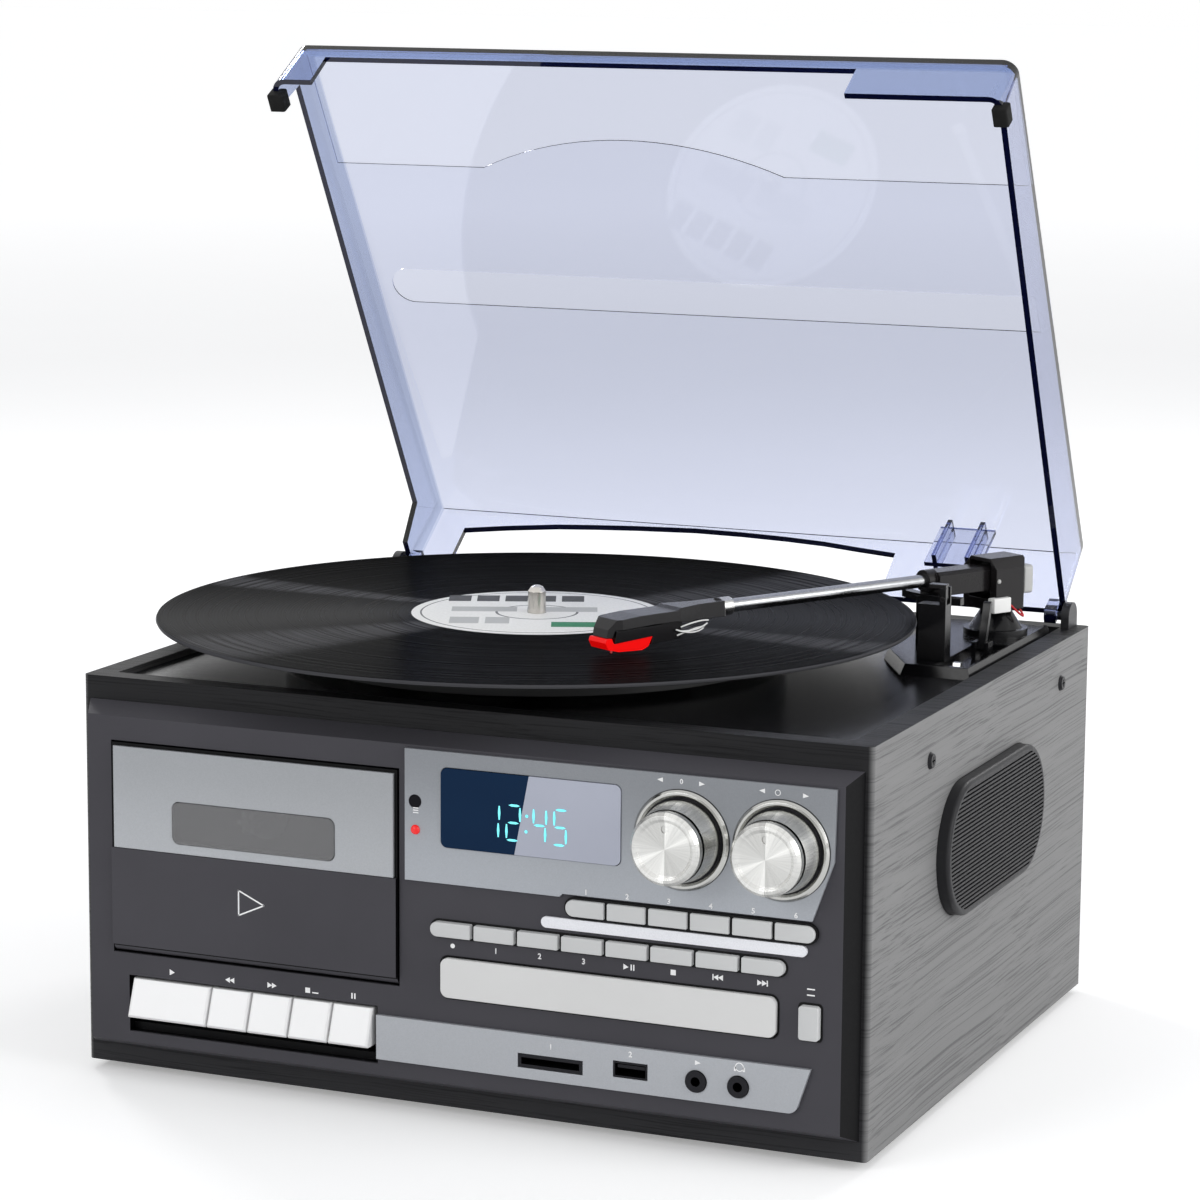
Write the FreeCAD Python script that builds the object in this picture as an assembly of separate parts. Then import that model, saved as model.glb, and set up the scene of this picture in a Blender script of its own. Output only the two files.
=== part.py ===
import FreeCAD, Part
import math
import os

from FreeCAD import Vector

# A compact record player with a radio, a compact disc tray and a cassette deck in one wooden cabinet.
# Millimetres. X to the right, Y to the back, Z up. The origin is the centre of the four feet on the table.

# General clearances
overrun = 1.0
fit_gap = 0.2
button_gap = 0.35
shaft_clearance = 0.05

# Cabinet
cabinet_width = 320.0
cabinet_depth = 268.0
cabinet_height = 152.0
side_board = 10.0
front_board = 9.0
rear_board = 9.0
bottom_board = 6.0
deck_drop = 2.5
cabinet_edge_radius = 2.0
foot_radius = 9.0
foot_height = 3.0
foot_inset = 26.0
foot_screw_radius = 3.0
foot_screw_depth = 1.2
base_slot_length = 60.0
base_slot_width = 4.0
base_slot_pitch = 12.0
base_slot_count = 5
screw_head_radius = 3.3
screw_head_height = 1.3
screw_recess_radius = 1.5
screw_front_offset = 71.0
screw_rear_offset = 94.0
screw_drop = 17.0

cabinet_floor = foot_height
cabinet_top = foot_height + cabinet_height
front_y = -cabinet_depth / 2
rear_y = cabinet_depth / 2
half_width = cabinet_width / 2
deck_z = cabinet_top - deck_drop

# Front bezel, a moulded shell that stands proud of the front board
bezel_width = 306.0
bezel_height = 127.4
bezel_lift = 11.6
bezel_proud = 9.0
bezel_wall = 3.2
bezel_spread = 4.0
bezel_flange_depth = 7.0
bezel_flange_inset = 4.0
front_opening_gap = 0.3

bezel_y = front_y - bezel_proud
bezel_bottom = cabinet_floor + bezel_lift
bezel_top = bezel_bottom + bezel_height

# Rear panel and its sockets
rear_panel_width = 200.0
rear_panel_height = 90.0
rear_panel_lift = 30.0
rear_panel_thickness = 3.0
rear_panel_lap = 10.0
phono_radius = 4.2
phono_shank_radius = 3.4
phono_collar_radius = 5.4
phono_collar_height = 0.8
phono_bore_radius = 1.6
phono_length = 9.0
phono_spacing = 14.0
phono_x = 60.0
phono_lift = 60.0
inlet_x = -62.0
inlet_width = 20.0
inlet_height = 13.0
inlet_depth = 14.0
inlet_wall = 2.0
inlet_pin_radius = 1.2
inlet_pin_spacing = 8.6
inlet_proud = 2.0

# Speakers in the sides
grille_length = 121.5
grille_height = 51.6
grille_y = -0.6
grille_lift = 95.2
grille_frame = 4.5
grille_rim = 2.5
grille_proud = 5.0
grille_round = 1.6
grille_seat = 3.0
louvre_width = 0.8
louvre_pitch = 1.6
louvre_depth = 1.8
speaker_flange = 2.0
speaker_margin = 5.0
speaker_throat_radius = 14.0
speaker_cone_depth = 15.0
speaker_magnet_radius = 17.0
speaker_magnet_depth = 10.0

# Cassette deck
door_left = -143.0
door_right = -21.2
door_bottom = 46.8
door_top = 129.6
door_gap = 0.6
door_thickness = 6.0
door_inset = 0.6
door_split = 88.2
door_lower_proud = 1.4
door_panel_thickness = 1.2
door_panel_margin = 1.2
door_rib_depth = 8.0
door_rib_width = 2.0
door_rib_height = 44.0
window_left = -115.8
window_right = -47.2
window_bottom = 92.2
window_top = 108.3
window_radius = 3.0
window_thickness = 2.0
window_proud = 0.3
well_depth = 34.0
well_wall = 2.0
hub_left_x = -93.4
hub_spacing = 42.5
hub_z = 98.3
hub_radius = 4.6
hub_core_radius = 3.0
hub_core_tip_share = 0.6
hub_spline_count = 6
hub_spline_width = 1.6
hub_length = 16.0
hub_disc_radius = 9.0
hub_disc_thickness = 2.0
hub_shaft_radius = 1.5
tape_head_width = 14.0
tape_head_height = 9.0
tape_head_depth = 12.0
tape_head_z = 57.0

# Piano keys under the cassette door
key_left_edges = (-134.4, -100.2, -82.9, -65.6, -48.7)
key_right_edges = (-101.0, -83.7, -66.4, -49.5, -32.2)
key_well_left = -136.4
key_well_right = -30.3
key_well_bottom = 16.0
key_well_top = 38.2
key_top = 37.2
key_bottom = 22.8
key_proud_top = 0.6
key_proud_bottom = 5.5
key_back = 12.0
key_stem_depth = 22.0
key_axle_radius = 1.4
key_axle_drop = 3.0
key_lug_width = 2.0
key_lug_height = 3.0
key_edge_radius = 1.0

# Display facia
facia_left = -18.4
facia_right = 150.2
facia_top = 137.8
facia_bottom = 89.4
facia_step_x = 44.0
facia_step_drop = 1.2
facia_waist = 111.4
facia_waist_right = 149.5
facia_heel_right = 141.6
facia_thickness = 1.2
display_left = -3.5
display_right = 68.0
display_bottom = 102.1
display_top = 131.8
display_radius = 2.5
display_proud = 0.5
remote_lens_x = -14.2
remote_lens_z = 118.1
remote_lens_radius = 2.4
led_x = -14.0
led_z = 107.5
led_radius = 1.3
lamp_dome_share = 0.7
lens_depth = 2.2

# Knobs
tuning_x = 91.5
volume_x = 129.6
knob_z = 114.0
knob_ring_radius = 18.4
knob_ring_inner_radius = 15.8
knob_ring_proud = 2.6
knob_skirt_radius = 15.0
knob_neck_radius = 13.6
knob_cap_radius = 13.4
knob_reach = 18.0
knob_skirt_reach = 4.0
knob_cap_length = 5.0
knob_dish_depth = 0.8
knob_rim = 1.2
knob_shaft_radius = 3.0
knob_shaft_length = 14.0
knob_notch_radius = 1.4
knob_notch_depth = 0.5

# Button rows
function_count = 6
function_left = 46.8
function_width = 15.3
function_pitch = 16.2
function_bottom = 81.6
function_height = 6.2
playback_count = 8
playback_left = -7.6
playback_width = 16.4
playback_pitch = 17.55
playback_bottom = 68.2
playback_height = 5.6
button_proud = 2.6
button_depth = 10.0
button_edge = 0.8
label_bar_left = 36.6
label_bar_right = 139.8
label_bar_z = 78.1
label_bar_height = 4.2
label_bar_thickness = 1.0

# Compact disc tray
tray_left = -3.7
tray_right = 128.6
tray_bottom = 45.2
tray_top = 60.2
tray_corner_radius = 3.0
tray_front_thickness = 4.4
tray_front_proud = 1.6
tray_body_inset = 3.0
tray_body_height = 7.0
tray_body_lift = 3.5
tray_length = 150.0
disc_radius = 60.5
disc_recess_depth = 2.2
disc_recess_gap = 4.0
spindle_hole_radius = 16.0
tray_slot_width = 26.0
runner_height = 8.0
runner_width = 5.0
runner_length = 150.0
tray_button_left = 137.2
tray_button_right = 145.2
tray_button_bottom = 46.0
tray_button_top = 58.6

# Lower strip and the front sockets
strip_left = -30.2
strip_right = 142.0
strip_heel_right = 136.4
strip_top = 35.2
strip_bottom = 18.2
strip_thickness = 1.6
strip_radius = 4.0
card_left = 28.0
card_width = 25.6
card_slot_height = 2.6
card_z = 25.0
socket_frame = 1.2
usb_left = 66.0
usb_width = 13.2
usb_height = 5.8
usb_z = 26.4
usb_shell = 0.6
usb_tongue = 1.9
socket_depth = 14.0
aux_x = 98.3
phones_x = 114.6
jack_z = 25.6
jack_radius = 4.0
jack_bore_radius = 1.8
jack_depth = 15.0
jack_proud = 0.8

# Deck, platter and record
deck_thickness = 3.0
deck_recess_radius = 104.0
deck_recess_depth = 1.0
deck_step_width = 8.0
record_pivot_left = 158.2
record_pivot_front = 100.9
platter_radius = 99.0
platter_rim_height = 11.9
platter_wall = 2.0
platter_lift = 2.8
platter_top_thickness = 2.0
platter_mat_thickness = 1.0
platter_mat_inner_radius = 56.0
platter_mat_outer_radius = 96.0
drive_ring_radius = 62.0
drive_ring_width = 2.0
drive_ring_depth = 7.0
hub_boss_radius = 10.0
bearing_radius = 4.0
bearing_length = 22.0
bearing_wall = 3.0
spindle_radius = 3.55
spindle_reach = 11.0
record_radius = 150.5
record_thickness = 1.6
record_groove_depth = 0.3
record_edge_width = 3.0
record_label_radius = 50.0
record_lead_out_radius = 58.0
record_label_height = 0.1
record_hole_clearance = 0.08
pulley_distance = 76.0
pulley_angle = 118.0
pulley_radius = 5.0
pulley_height = 8.0
pulley_groove = 0.8
pulley_lift = 2.0
pulley_shaft_radius = 1.0
pulley_shaft_length = 16.0
motor_radius = 15.0
motor_height = 24.0

platter_bottom = deck_z + platter_lift
platter_top = platter_bottom + platter_rim_height
record_seat = platter_top + platter_mat_thickness
record_top = record_seat + record_thickness

# Tonearm
arm_pivot_inset = 15.0
arm_pivot_rear_inset = 29.0
arm_angle = 29.4
arm_reach = 196.0
arm_rise = 12.7
base_plinth_height = 4.5
base_side_gap = 11.5
base_rear_gap = 16.0
base_width = 45.5
base_length = 108.0
base_nose_width = 28.5
base_waist_length = 30.0
base_edge_slope = 3.0
base_channel_inset = 2.5
base_channel_width = 13.0
base_channel_start = 4.0
base_channel_length = 52.0
base_channel_depth = 2.5
pivot_disc_radius = 13.0
pivot_disc_height = 3.0
pivot_cone_radius = 10.8
pivot_cone_top_radius = 5.8
pivot_cone_height = 8.0
pivot_post_radius = 2.6
pivot_post_height = 7.0
housing_length = 18.0
housing_width = 19.4
housing_height = 21.0
housing_chamfer = 4.0
housing_rear_chamfer = 3.0
housing_floor = 4.6
housing_roof = 1.5
housing_gap = 0.5
collar_width = 11.6
collar_rear = 6.0
collar_front = 36.0
collar_below = 6.0
collar_above = 3.6
collar_chamfer = 1.5
collar_mouth_radius = 4.4
collar_mouth_length = 4.0
trunnion_radius = 1.5
trunnion_length = 3.0
arm_tube_radius = 2.6
arm_tube_socket = 12.0
head_ahead = 5.7
head_length = 57.2
head_height = 15.0
head_overlap = 6.0
head_clip_length = 5.0
head_clip_radius = 3.6
head_half_width = 8.0
head_neck_half_width = 5.0
head_chamfer = 1.4
shell_top_shares = ((0, 0.193), (0.411, 0.193), (0.441, 0.133), (0.743, 0.12), (0.932, 0.067),
                    (0.988, -0.173), (1, -0.38))
shell_bottom_shares = ((0, -0.207), (0.341, -0.207), (0.446, -0.14), (0.638, -0.14), (0.946, -0.193),
                       (0.963, -0.38))
head_plan_shares = ((0.21, 0.62), (0.42, 1), (0.9, 1), (1, 0.62))
cartridge_half_width = 5.5
cartridge_shares = ((0.385, -0.1), (0.402, -0.587), (0.643, -0.653), (0.629, -0.447), (0.946, -0.527),
                    (0.932, -0.227), (0.551, -0.18), (0.551, -0.1))
stylus_half_width = 5.2
stylus_shares = ((0.631, -0.453), (0.664, -0.693), (0.717, -0.773), (0.909, -0.747), (0.997, -0.667),
                 (1.02, -0.493), (1.009, -0.393), (0.967, -0.393), (0.951, -0.533))
stylus_base_share = 0.6
stylus_tip_clearance = 0.3
stylus_cantilever_width = 0.8
park_swing = 25.3
rest_radius = 65.0
rest_width = 11.0
rest_depth = 7.0
rest_wall = 2.6
rest_wall_height = 6.5
rest_gap = 0.5
clip_thickness = 1.6
clip_depth = 4.0
clip_rise = 3.6
clip_reach = 6.0
clip_pin_rise = 2.5
clip_pin_radius = 0.9
lifter_radius = 40.0
lifter_width = 4.0
lifter_thickness = 3.0
lifter_inner_angle = 46.0
lifter_outer_angle = 2.0
lifter_gap = 0.4
lifter_rod_radius = 2.2
lifter_rod_angle = 30.0
cue_inset = 8.7
cue_start = 42.0
cue_width = 3.0
cue_length = 18.0
cue_thickness = 2.4
cue_lean = 20.0
cue_pin_radius = 1.2
cue_pin_length = 7.0
switch_inset = 9.0
switch_start = 12.0
switch_length = 4.0
switch_width = 3.0
switch_height = 2.6

arm_z = record_top + arm_rise
plinth_z = deck_z + base_plinth_height
base_right = half_width - base_side_gap
base_left = base_right - base_width
base_rear = rear_y - base_rear_gap
base_front = base_rear - base_length
base_channel_right = base_right - base_channel_inset
base_channel_front = base_front + base_channel_start
arm_pivot_x = base_right - arm_pivot_inset
arm_pivot_y = base_rear - arm_pivot_rear_inset
cue_x = base_right - cue_inset
cue_y = base_front + cue_start
switch_x = base_right - switch_inset
switch_y = base_front + switch_start
head_nose = arm_reach + head_ahead
head_start = head_nose - head_length
record_x = arm_pivot_x - record_pivot_left
record_y = arm_pivot_y - record_pivot_front

# Dust cover, drawn closed and then turned up about its hinge
lid_open_angle = 61.3
lid_wall = 2.4
lid_hinge_gap = 7.0
lid_hinge_lift = 4.5
lid_rim_lift = 8.0
lid_front_gap = 16.0
lid_front_lean = 2.0
lid_rear_gap = 5.0
lid_rear_lean = 5.0
lid_front_side_gap = 4.5
lid_rear_side_gap = 9.0
lid_plate_taper = 1.0
lid_front_height = 24.0
lid_rear_height = 34.0
lid_corner_radius = 6.0
lid_front_cut_inset = 18.5
lid_front_cut_width = 229.0
lid_front_cut_height = 16.0
lid_side_cut_start = 12.0
lid_side_cut_length = 194.0
lid_side_cut_height = 16.0
lid_arch_left = 100.3
lid_arch_right = 94.7
lid_arch_height = 14.0
lid_arch_sag = 5.0
lid_ear_radius = 4.4
lid_ear_length = 5.0
lid_ear_neck = 4.0
lid_pin_radius = 1.8
bracket_thickness = 3.4
bracket_length = 12.0
bumper_radius = 3.2
bumper_inset = 5.2
lid_tab_inset = 49.6
lid_tab_rear_inset = 16.2
lid_tab_width = 24.0
lid_tab_length = 10.0
lid_tab_drop = 26.0
lid_tab_rib = 2.0
lid_tab_rib_shares = (0.2, 0.8)
lid_recess_depth = 0.5
lid_recess_margin = 5.0
lid_stripe_start = 110.4
lid_stripe_width = 17.4
lid_stripe_inset = 16.0
lid_step_start = 57.0
lid_step_rise = 15.5
lid_step_rise_left = 57.3
lid_step_rise_right = 74.7

lid_front_y = front_y + lid_front_gap
lid_plate_front_y = lid_front_y - lid_front_lean
lid_rear_y = rear_y - lid_rear_gap
lid_plate_rear_y = lid_rear_y - lid_rear_lean
lid_front_half_width = half_width - lid_front_side_gap
lid_rear_half_width = half_width - lid_rear_side_gap
lid_hinge_y = rear_y - lid_hinge_gap
lid_hinge_z = cabinet_top + lid_hinge_lift
lid_rim_z = cabinet_top + lid_rim_lift


def box(x0, x1, y0, y1, z0, z1):
    """A box between two corners."""
    return Part.makeBox(x1 - x0, y1 - y0, z1 - z0, Vector(x0, y0, z0))


def face_of(points):
    """A flat face through points, closed back to the first."""
    return Part.Face(Part.makePolygon(list(points) + [points[0]]))


def front_prism(outline, y, depth):
    """A prism from an outline in X and Z. It starts at y and runs to the back."""
    points = [Vector(x, y, z) for x, z in outline]
    return face_of(points).extrude(Vector(0, depth, 0))


def front_rounded(x0, x1, z0, z1, radius, y, depth):
    """A plate that faces the front, with round corners."""
    corners = ((x0, z0, 1, 1), (x1, z0, -1, 1), (x1, z1, -1, -1), (x0, z1, 1, -1))
    edges = []
    last = None
    first = None
    for x, z, sx, sz in corners:
        centre = Vector(x + sx * radius, y, z + sz * radius)
        on_side = Vector(x, y, z + sz * radius)
        on_base = Vector(x + sx * radius, y, z)
        start, end = (on_side, on_base) if sx == sz else (on_base, on_side)
        middle = centre + Vector(-sx, 0, -sz).normalize() * radius
        if last is not None and last.distanceToPoint(start) > 0:
            edges.append(Part.LineSegment(last, start).toShape())
        edges.append(Part.Arc(start, middle, end).toShape())
        first = first or start
        last = end
    if last.distanceToPoint(first) > 0:
        edges.append(Part.LineSegment(last, first).toShape())
    return Part.Face(Part.Wire(edges)).extrude(Vector(0, depth, 0))


def front_slot(x0, x1, z0, z1, y, depth):
    """A plate that faces the front, with half round ends."""
    radius = (z1 - z0) / 2
    z = (z0 + z1) / 2
    left = x0 + radius
    right = x1 - radius
    edges = [
        Part.LineSegment(Vector(left, y, z0), Vector(right, y, z0)).toShape(),
        Part.Arc(Vector(right, y, z0), Vector(x1, y, z), Vector(right, y, z1)).toShape(),
        Part.LineSegment(Vector(right, y, z1), Vector(left, y, z1)).toShape(),
        Part.Arc(Vector(left, y, z1), Vector(x0, y, z), Vector(left, y, z0)).toShape(),
    ]
    return Part.Face(Part.Wire(edges)).extrude(Vector(0, depth, 0))


def rod(radius, length, start, direction):
    """A round bar."""
    return Part.makeCylinder(radius, length, Vector(*start), Vector(*direction))


def turned(profile, centre, axis):
    """Turns a closed profile of (radius, height) points about an axis along Y or Z."""
    along = Vector(*axis)
    out = Vector(1, 0, 0)
    origin = Vector(*centre)
    points = [origin + out * r + along * h for r, h in profile]
    return face_of(points).revolve(origin, along, 360)


def turned_about_x(shape, y, z, angle):
    """Turns a shape about a line along X. A positive angle lifts what lies in front of the line."""
    copy = shape.copy()
    copy.rotate(Vector(0, y, z), Vector(-1, 0, 0), angle)
    return copy


def arm_frame(shape):
    """Moves a shape drawn along +X from the pivot to where the tonearm lies."""
    copy = shape.copy()
    copy.rotate(Vector(0, 0, 0), Vector(0, 0, 1), -90 - arm_angle)
    copy.translate(Vector(arm_pivot_x, arm_pivot_y, 0))
    return copy


def mirrored(shape):
    """The same shape on the other side of the cabinet."""
    return shape.mirror(Vector(0, 0, 0), Vector(1, 0, 0))


def fused(first, *others):
    return first.fuse(list(others)).removeSplitter()


def cut(body, *tools):
    return body.cut(list(tools))


def group(shapes):
    return Part.makeCompound(shapes)


def inside_box():
    """The space inside the cabinet boards, from below the floor to above the top."""
    return box(-half_width + side_board, half_width - side_board, front_y + front_board,
               rear_y - rear_board, cabinet_floor - overrun, cabinet_top + overrun)


def grille_outline(x, depth, shrink):
    """The long round speaker outline on a side, from x outwards."""
    length = grille_length - 2 * shrink
    height = grille_height - 2 * shrink
    z = cabinet_floor + grille_lift
    plate = front_slot(-length / 2, length / 2, z - height / 2, z + height / 2, 0, depth)
    plate.rotate(Vector(0, 0, 0), Vector(0, 0, 1), -90)
    plate.translate(Vector(x, grille_y, 0))
    return plate


def cabinet_box():
    body = box(-half_width, half_width, front_y, rear_y, cabinet_floor, cabinet_top)
    corner_edges = [edge for edge in body.Edges if edge.BoundBox.ZLength > cabinet_height / 2]
    body = body.makeFillet(cabinet_edge_radius, corner_edges)
    inset = bezel_flange_inset - front_opening_gap
    front_hole = box(-bezel_width / 2 + inset, bezel_width / 2 - inset, front_y - overrun,
                     front_y + front_board + overrun, bezel_bottom + inset, bezel_top - inset)
    rear_hole = box(-rear_panel_width / 2 + rear_panel_lap, rear_panel_width / 2 - rear_panel_lap,
                    rear_y - rear_board - overrun, rear_y + overrun,
                    cabinet_floor + rear_panel_lift + rear_panel_lap,
                    cabinet_floor + rear_panel_lift + rear_panel_height - rear_panel_lap)
    rear_rebate = box(-rear_panel_width / 2 - fit_gap, rear_panel_width / 2 + fit_gap,
                      rear_y - rear_panel_thickness, rear_y + overrun,
                      cabinet_floor + rear_panel_lift - fit_gap,
                      cabinet_floor + rear_panel_lift + rear_panel_height + fit_gap)
    speaker_hole = grille_outline(half_width - side_board - overrun, side_board + 2 * overrun,
                                  grille_frame - fit_gap)
    speaker_rebate = grille_outline(half_width - grille_seat, grille_seat + overrun, -fit_gap)
    tools = [inside_box(), front_hole, rear_hole, rear_rebate]
    for tool in (speaker_hole, speaker_rebate):
        tools += [tool, mirrored(tool)]
    return cut(body, *tools)


def base_board():
    """The bottom board, with a row of vent slots under the amplifier."""
    left = -half_width + side_board + fit_gap
    front = front_y + front_board + fit_gap
    body = box(left, -left, front, rear_y - rear_board - fit_gap, cabinet_floor,
               cabinet_floor + bottom_board)
    tools = []
    for index in range(base_slot_count):
        y = (index - (base_slot_count - 1) / 2) * base_slot_pitch
        tools.append(box(-base_slot_length / 2, base_slot_length / 2, y - base_slot_width / 2,
                         y + base_slot_width / 2, cabinet_floor - overrun,
                         cabinet_floor + bottom_board + overrun))
    return cut(body, *tools)


def rubber_feet():
    profile = ((0, foot_screw_depth), (foot_screw_radius, foot_screw_depth), (foot_screw_radius, 0),
               (foot_radius - foot_height / 3, 0), (foot_radius, foot_height), (0, foot_height))
    feet = []
    for sx in (-1, 1):
        for sy in (-1, 1):
            centre = (sx * (half_width - foot_inset), sy * (rear_y - foot_inset), 0)
            feet.append(turned(profile, centre, (0, 0, 1)))
    return group(feet)


def side_screws():
    """Pan head screws with a cross recess, two in each side."""
    screws = []
    for y in (-screw_front_offset, screw_rear_offset):
        z = cabinet_top - screw_drop
        head = Part.makeCone(screw_head_radius, screw_head_radius - screw_head_height / 2,
                             screw_head_height, Vector(half_width, y, z), Vector(1, 0, 0))
        x = half_width + screw_head_height / 2
        bar = screw_recess_radius / 2
        upright = box(x, x + overrun, y - bar / 2, y + bar / 2, z - screw_recess_radius,
                      z + screw_recess_radius)
        level = box(x, x + overrun, y - screw_recess_radius, y + screw_recess_radius, z - bar / 2,
                    z + bar / 2)
        screw = cut(head, upright, level)
        screws += [screw, mirrored(screw)]
    return group(screws)


def rear_panel():
    z0 = cabinet_floor + rear_panel_lift
    body = box(-rear_panel_width / 2, rear_panel_width / 2, rear_y - rear_panel_thickness, rear_y, z0,
               z0 + rear_panel_height)
    z = cabinet_floor + phono_lift
    depth = rear_panel_thickness + 2 * overrun
    tools = []
    for x in (phono_x, phono_x + phono_spacing):
        tools.append(rod(phono_shank_radius + fit_gap, depth, (x, rear_y - depth + overrun, z), (0, 1, 0)))
    tools.append(box(inlet_x - inlet_width / 2 - fit_gap, inlet_x + inlet_width / 2 + fit_gap,
                     rear_y - depth + overrun, rear_y + overrun, z - inlet_height / 2 - fit_gap,
                     z + inlet_height / 2 + fit_gap))
    return cut(body, *tools)


def speaker_grille():
    """One moulding: a proud rounded frame, hollow behind, with fine level louvres across its face."""
    x0 = half_width - grille_seat
    thickness = grille_seat + grille_proud
    body = grille_outline(x0, thickness, 0)
    face_edges = [edge for edge in body.Edges if edge.BoundBox.XMin > half_width]
    body = body.makeFillet(grille_round, face_edges)
    mouth = grille_outline(x0 - overrun, grille_seat + 2 * overrun, grille_frame)
    hollow = grille_outline(half_width, grille_proud - louvre_depth, grille_rim)
    body = cut(body, mouth, hollow)
    z = cabinet_floor + grille_lift
    window = grille_outline(half_width, grille_proud + overrun, grille_rim)
    count = int((grille_height / 2 - grille_rim) / louvre_pitch)
    gap = louvre_pitch - louvre_width
    bars = [box(x0 - overrun, x0 + thickness, grille_y - grille_length, grille_y + grille_length,
                z + index * louvre_pitch - gap / 2, z + index * louvre_pitch + gap / 2)
            for index in range(-count, count + 1)]
    slots = group(bars).common(window)
    return cut(body, slots)


def speaker_driver():
    """Flange, paper cone and magnet behind a side board."""
    x = half_width - side_board
    flange = grille_outline(x - speaker_flange, speaker_flange, speaker_margin)
    z = cabinet_floor + grille_lift
    centre = Vector(x - speaker_flange, grille_y, z)
    mouth = grille_height / 2 - speaker_margin - speaker_flange
    inwards = Vector(-1, 0, 0)
    basket = Part.makeCone(mouth, speaker_throat_radius, speaker_cone_depth, centre, inwards)
    back = centre + inwards * speaker_cone_depth
    magnet = Part.makeCylinder(speaker_magnet_radius, speaker_magnet_depth, back, inwards)
    dish = Part.makeCone(mouth - speaker_flange, speaker_throat_radius / 2, speaker_cone_depth,
                         Vector(x, grille_y, z), inwards)
    return cut(fused(flange, basket, magnet), dish)


def both_sides(shape):
    return group([shape, mirrored(shape)])


def button_places():
    """Left, right, bottom and top of every push button, by name."""
    places = {}
    for index in range(function_count):
        left = function_left + index * function_pitch
        places[f"function_button_{index + 1}"] = (
            left, left + function_width, function_bottom, function_bottom + function_height)
    for index in range(playback_count):
        left = playback_left + index * playback_pitch
        places[f"playback_button_{index + 1}"] = (
            left, left + playback_width, playback_bottom, playback_bottom + playback_height)
    places["tray_button"] = (tray_button_left, tray_button_right, tray_button_bottom, tray_button_top)
    return {name: (a, b, cabinet_floor + c, cabinet_floor + d) for name, (a, b, c, d) in places.items()}


def push_button(name):
    """A cap with round ends and a flange behind the bezel that keeps it in."""
    left, right, bottom, top = button_places()[name]
    y = bezel_y - button_proud
    if top - bottom < right - left:
        cap = front_slot(left, right, bottom, top, y, button_depth)
    else:
        cap = front_rounded(left, right, bottom, top, tray_corner_radius, y, button_depth)
    front_edges = [edge for edge in cap.Edges if edge.BoundBox.YMax < y + button_edge / 2]
    cap = cap.makeChamfer(button_edge, front_edges)
    flange_y = bezel_y + bezel_wall + button_gap
    flange = box(left, right, flange_y, y + button_depth, bottom - button_edge, top + button_edge)
    return fused(cap, flange)


def front_bezel():
    """The moulded front shell, open behind, with an opening for each thing that it carries."""
    x = bezel_width / 2
    spread = bezel_spread
    face = [(-x, bezel_bottom), (x, bezel_bottom), (x, bezel_top), (-x, bezel_top)]
    back = [(-x - spread, bezel_bottom - spread), (x + spread, bezel_bottom - spread),
            (x + spread, bezel_top + spread), (-x - spread, bezel_top + spread)]
    face_wire = Part.makePolygon([Vector(a, bezel_y, b) for a, b in face + face[:1]])
    back_wire = Part.makePolygon([Vector(a, front_y, b) for a, b in back + back[:1]])
    shell = Part.makeLoft([face_wire, back_wire], True, True)
    inset = bezel_flange_inset
    flange = box(-x + inset, x - inset, front_y - overrun, front_y + bezel_flange_depth,
                 bezel_bottom + inset, bezel_top - inset)
    body = fused(shell, flange)
    inner = inset + bezel_wall
    cavity = box(-x + inner, x - inner, bezel_y + bezel_wall, front_y + bezel_flange_depth + overrun,
                 bezel_bottom + inner, bezel_top - inner)
    body = cut(body, cavity)
    depth = bezel_wall + 2 * overrun
    start = bezel_y - overrun
    tools = [
        box(door_left, door_right, start, start + depth, cabinet_floor + door_bottom,
            cabinet_floor + door_top),
        box(key_well_left, key_well_right, start, start + depth, cabinet_floor + key_well_bottom,
            cabinet_floor + key_well_top),
        front_rounded(tray_left - door_gap, tray_right + door_gap, cabinet_floor + tray_bottom - door_gap,
                      cabinet_floor + tray_top + door_gap, tray_corner_radius, start, depth),
        box(card_left - fit_gap, card_left + card_width + fit_gap, start, start + depth,
            cabinet_floor + card_z - card_slot_height / 2 - socket_frame - fit_gap,
            cabinet_floor + card_z + card_slot_height / 2 + socket_frame + fit_gap),
        box(usb_left - fit_gap, usb_left + usb_width + fit_gap, start, start + depth,
            cabinet_floor + usb_z - usb_height / 2 - fit_gap,
            cabinet_floor + usb_z + usb_height / 2 + fit_gap),
    ]
    for name, (left, right, bottom, top) in button_places().items():
        if top - bottom < right - left:
            tools.append(front_slot(left - button_gap, right + button_gap, bottom - button_gap,
                                    top + button_gap, start, depth))
        else:
            tools.append(front_rounded(left - button_gap, right + button_gap, bottom - button_gap,
                                       top + button_gap, tray_corner_radius, start, depth))
    for x, z, radius in (
            (tuning_x, knob_z, knob_shaft_radius + shaft_clearance),
            (volume_x, knob_z, knob_shaft_radius + shaft_clearance),
            (aux_x, jack_z, jack_radius + fit_gap),
            (phones_x, jack_z, jack_radius + fit_gap),
            (remote_lens_x, remote_lens_z, remote_lens_radius + fit_gap),
            (led_x, led_z, led_radius + fit_gap)):
        tools.append(rod(radius, depth, (x, start, cabinet_floor + z), (0, 1, 0)))
    body = cut(body, *tools)
    return fused(body, *tray_runners(), *key_axle())


def key_axle():
    """The axle of the piano keys, with a lug on the bezel at each end."""
    y = bezel_y + key_stem_depth - key_axle_drop
    z = key_axle_z()
    start = key_well_left - key_lug_width
    end = key_well_right + key_lug_width
    axle = rod(key_axle_radius, end - start, (start, y, z), (1, 0, 0))
    lugs = [box(x, x + key_lug_width, bezel_y + bezel_wall, y + key_lug_height, z - key_lug_height,
                z + key_lug_height) for x in (start, end - key_lug_width)]
    return [axle] + lugs


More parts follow.
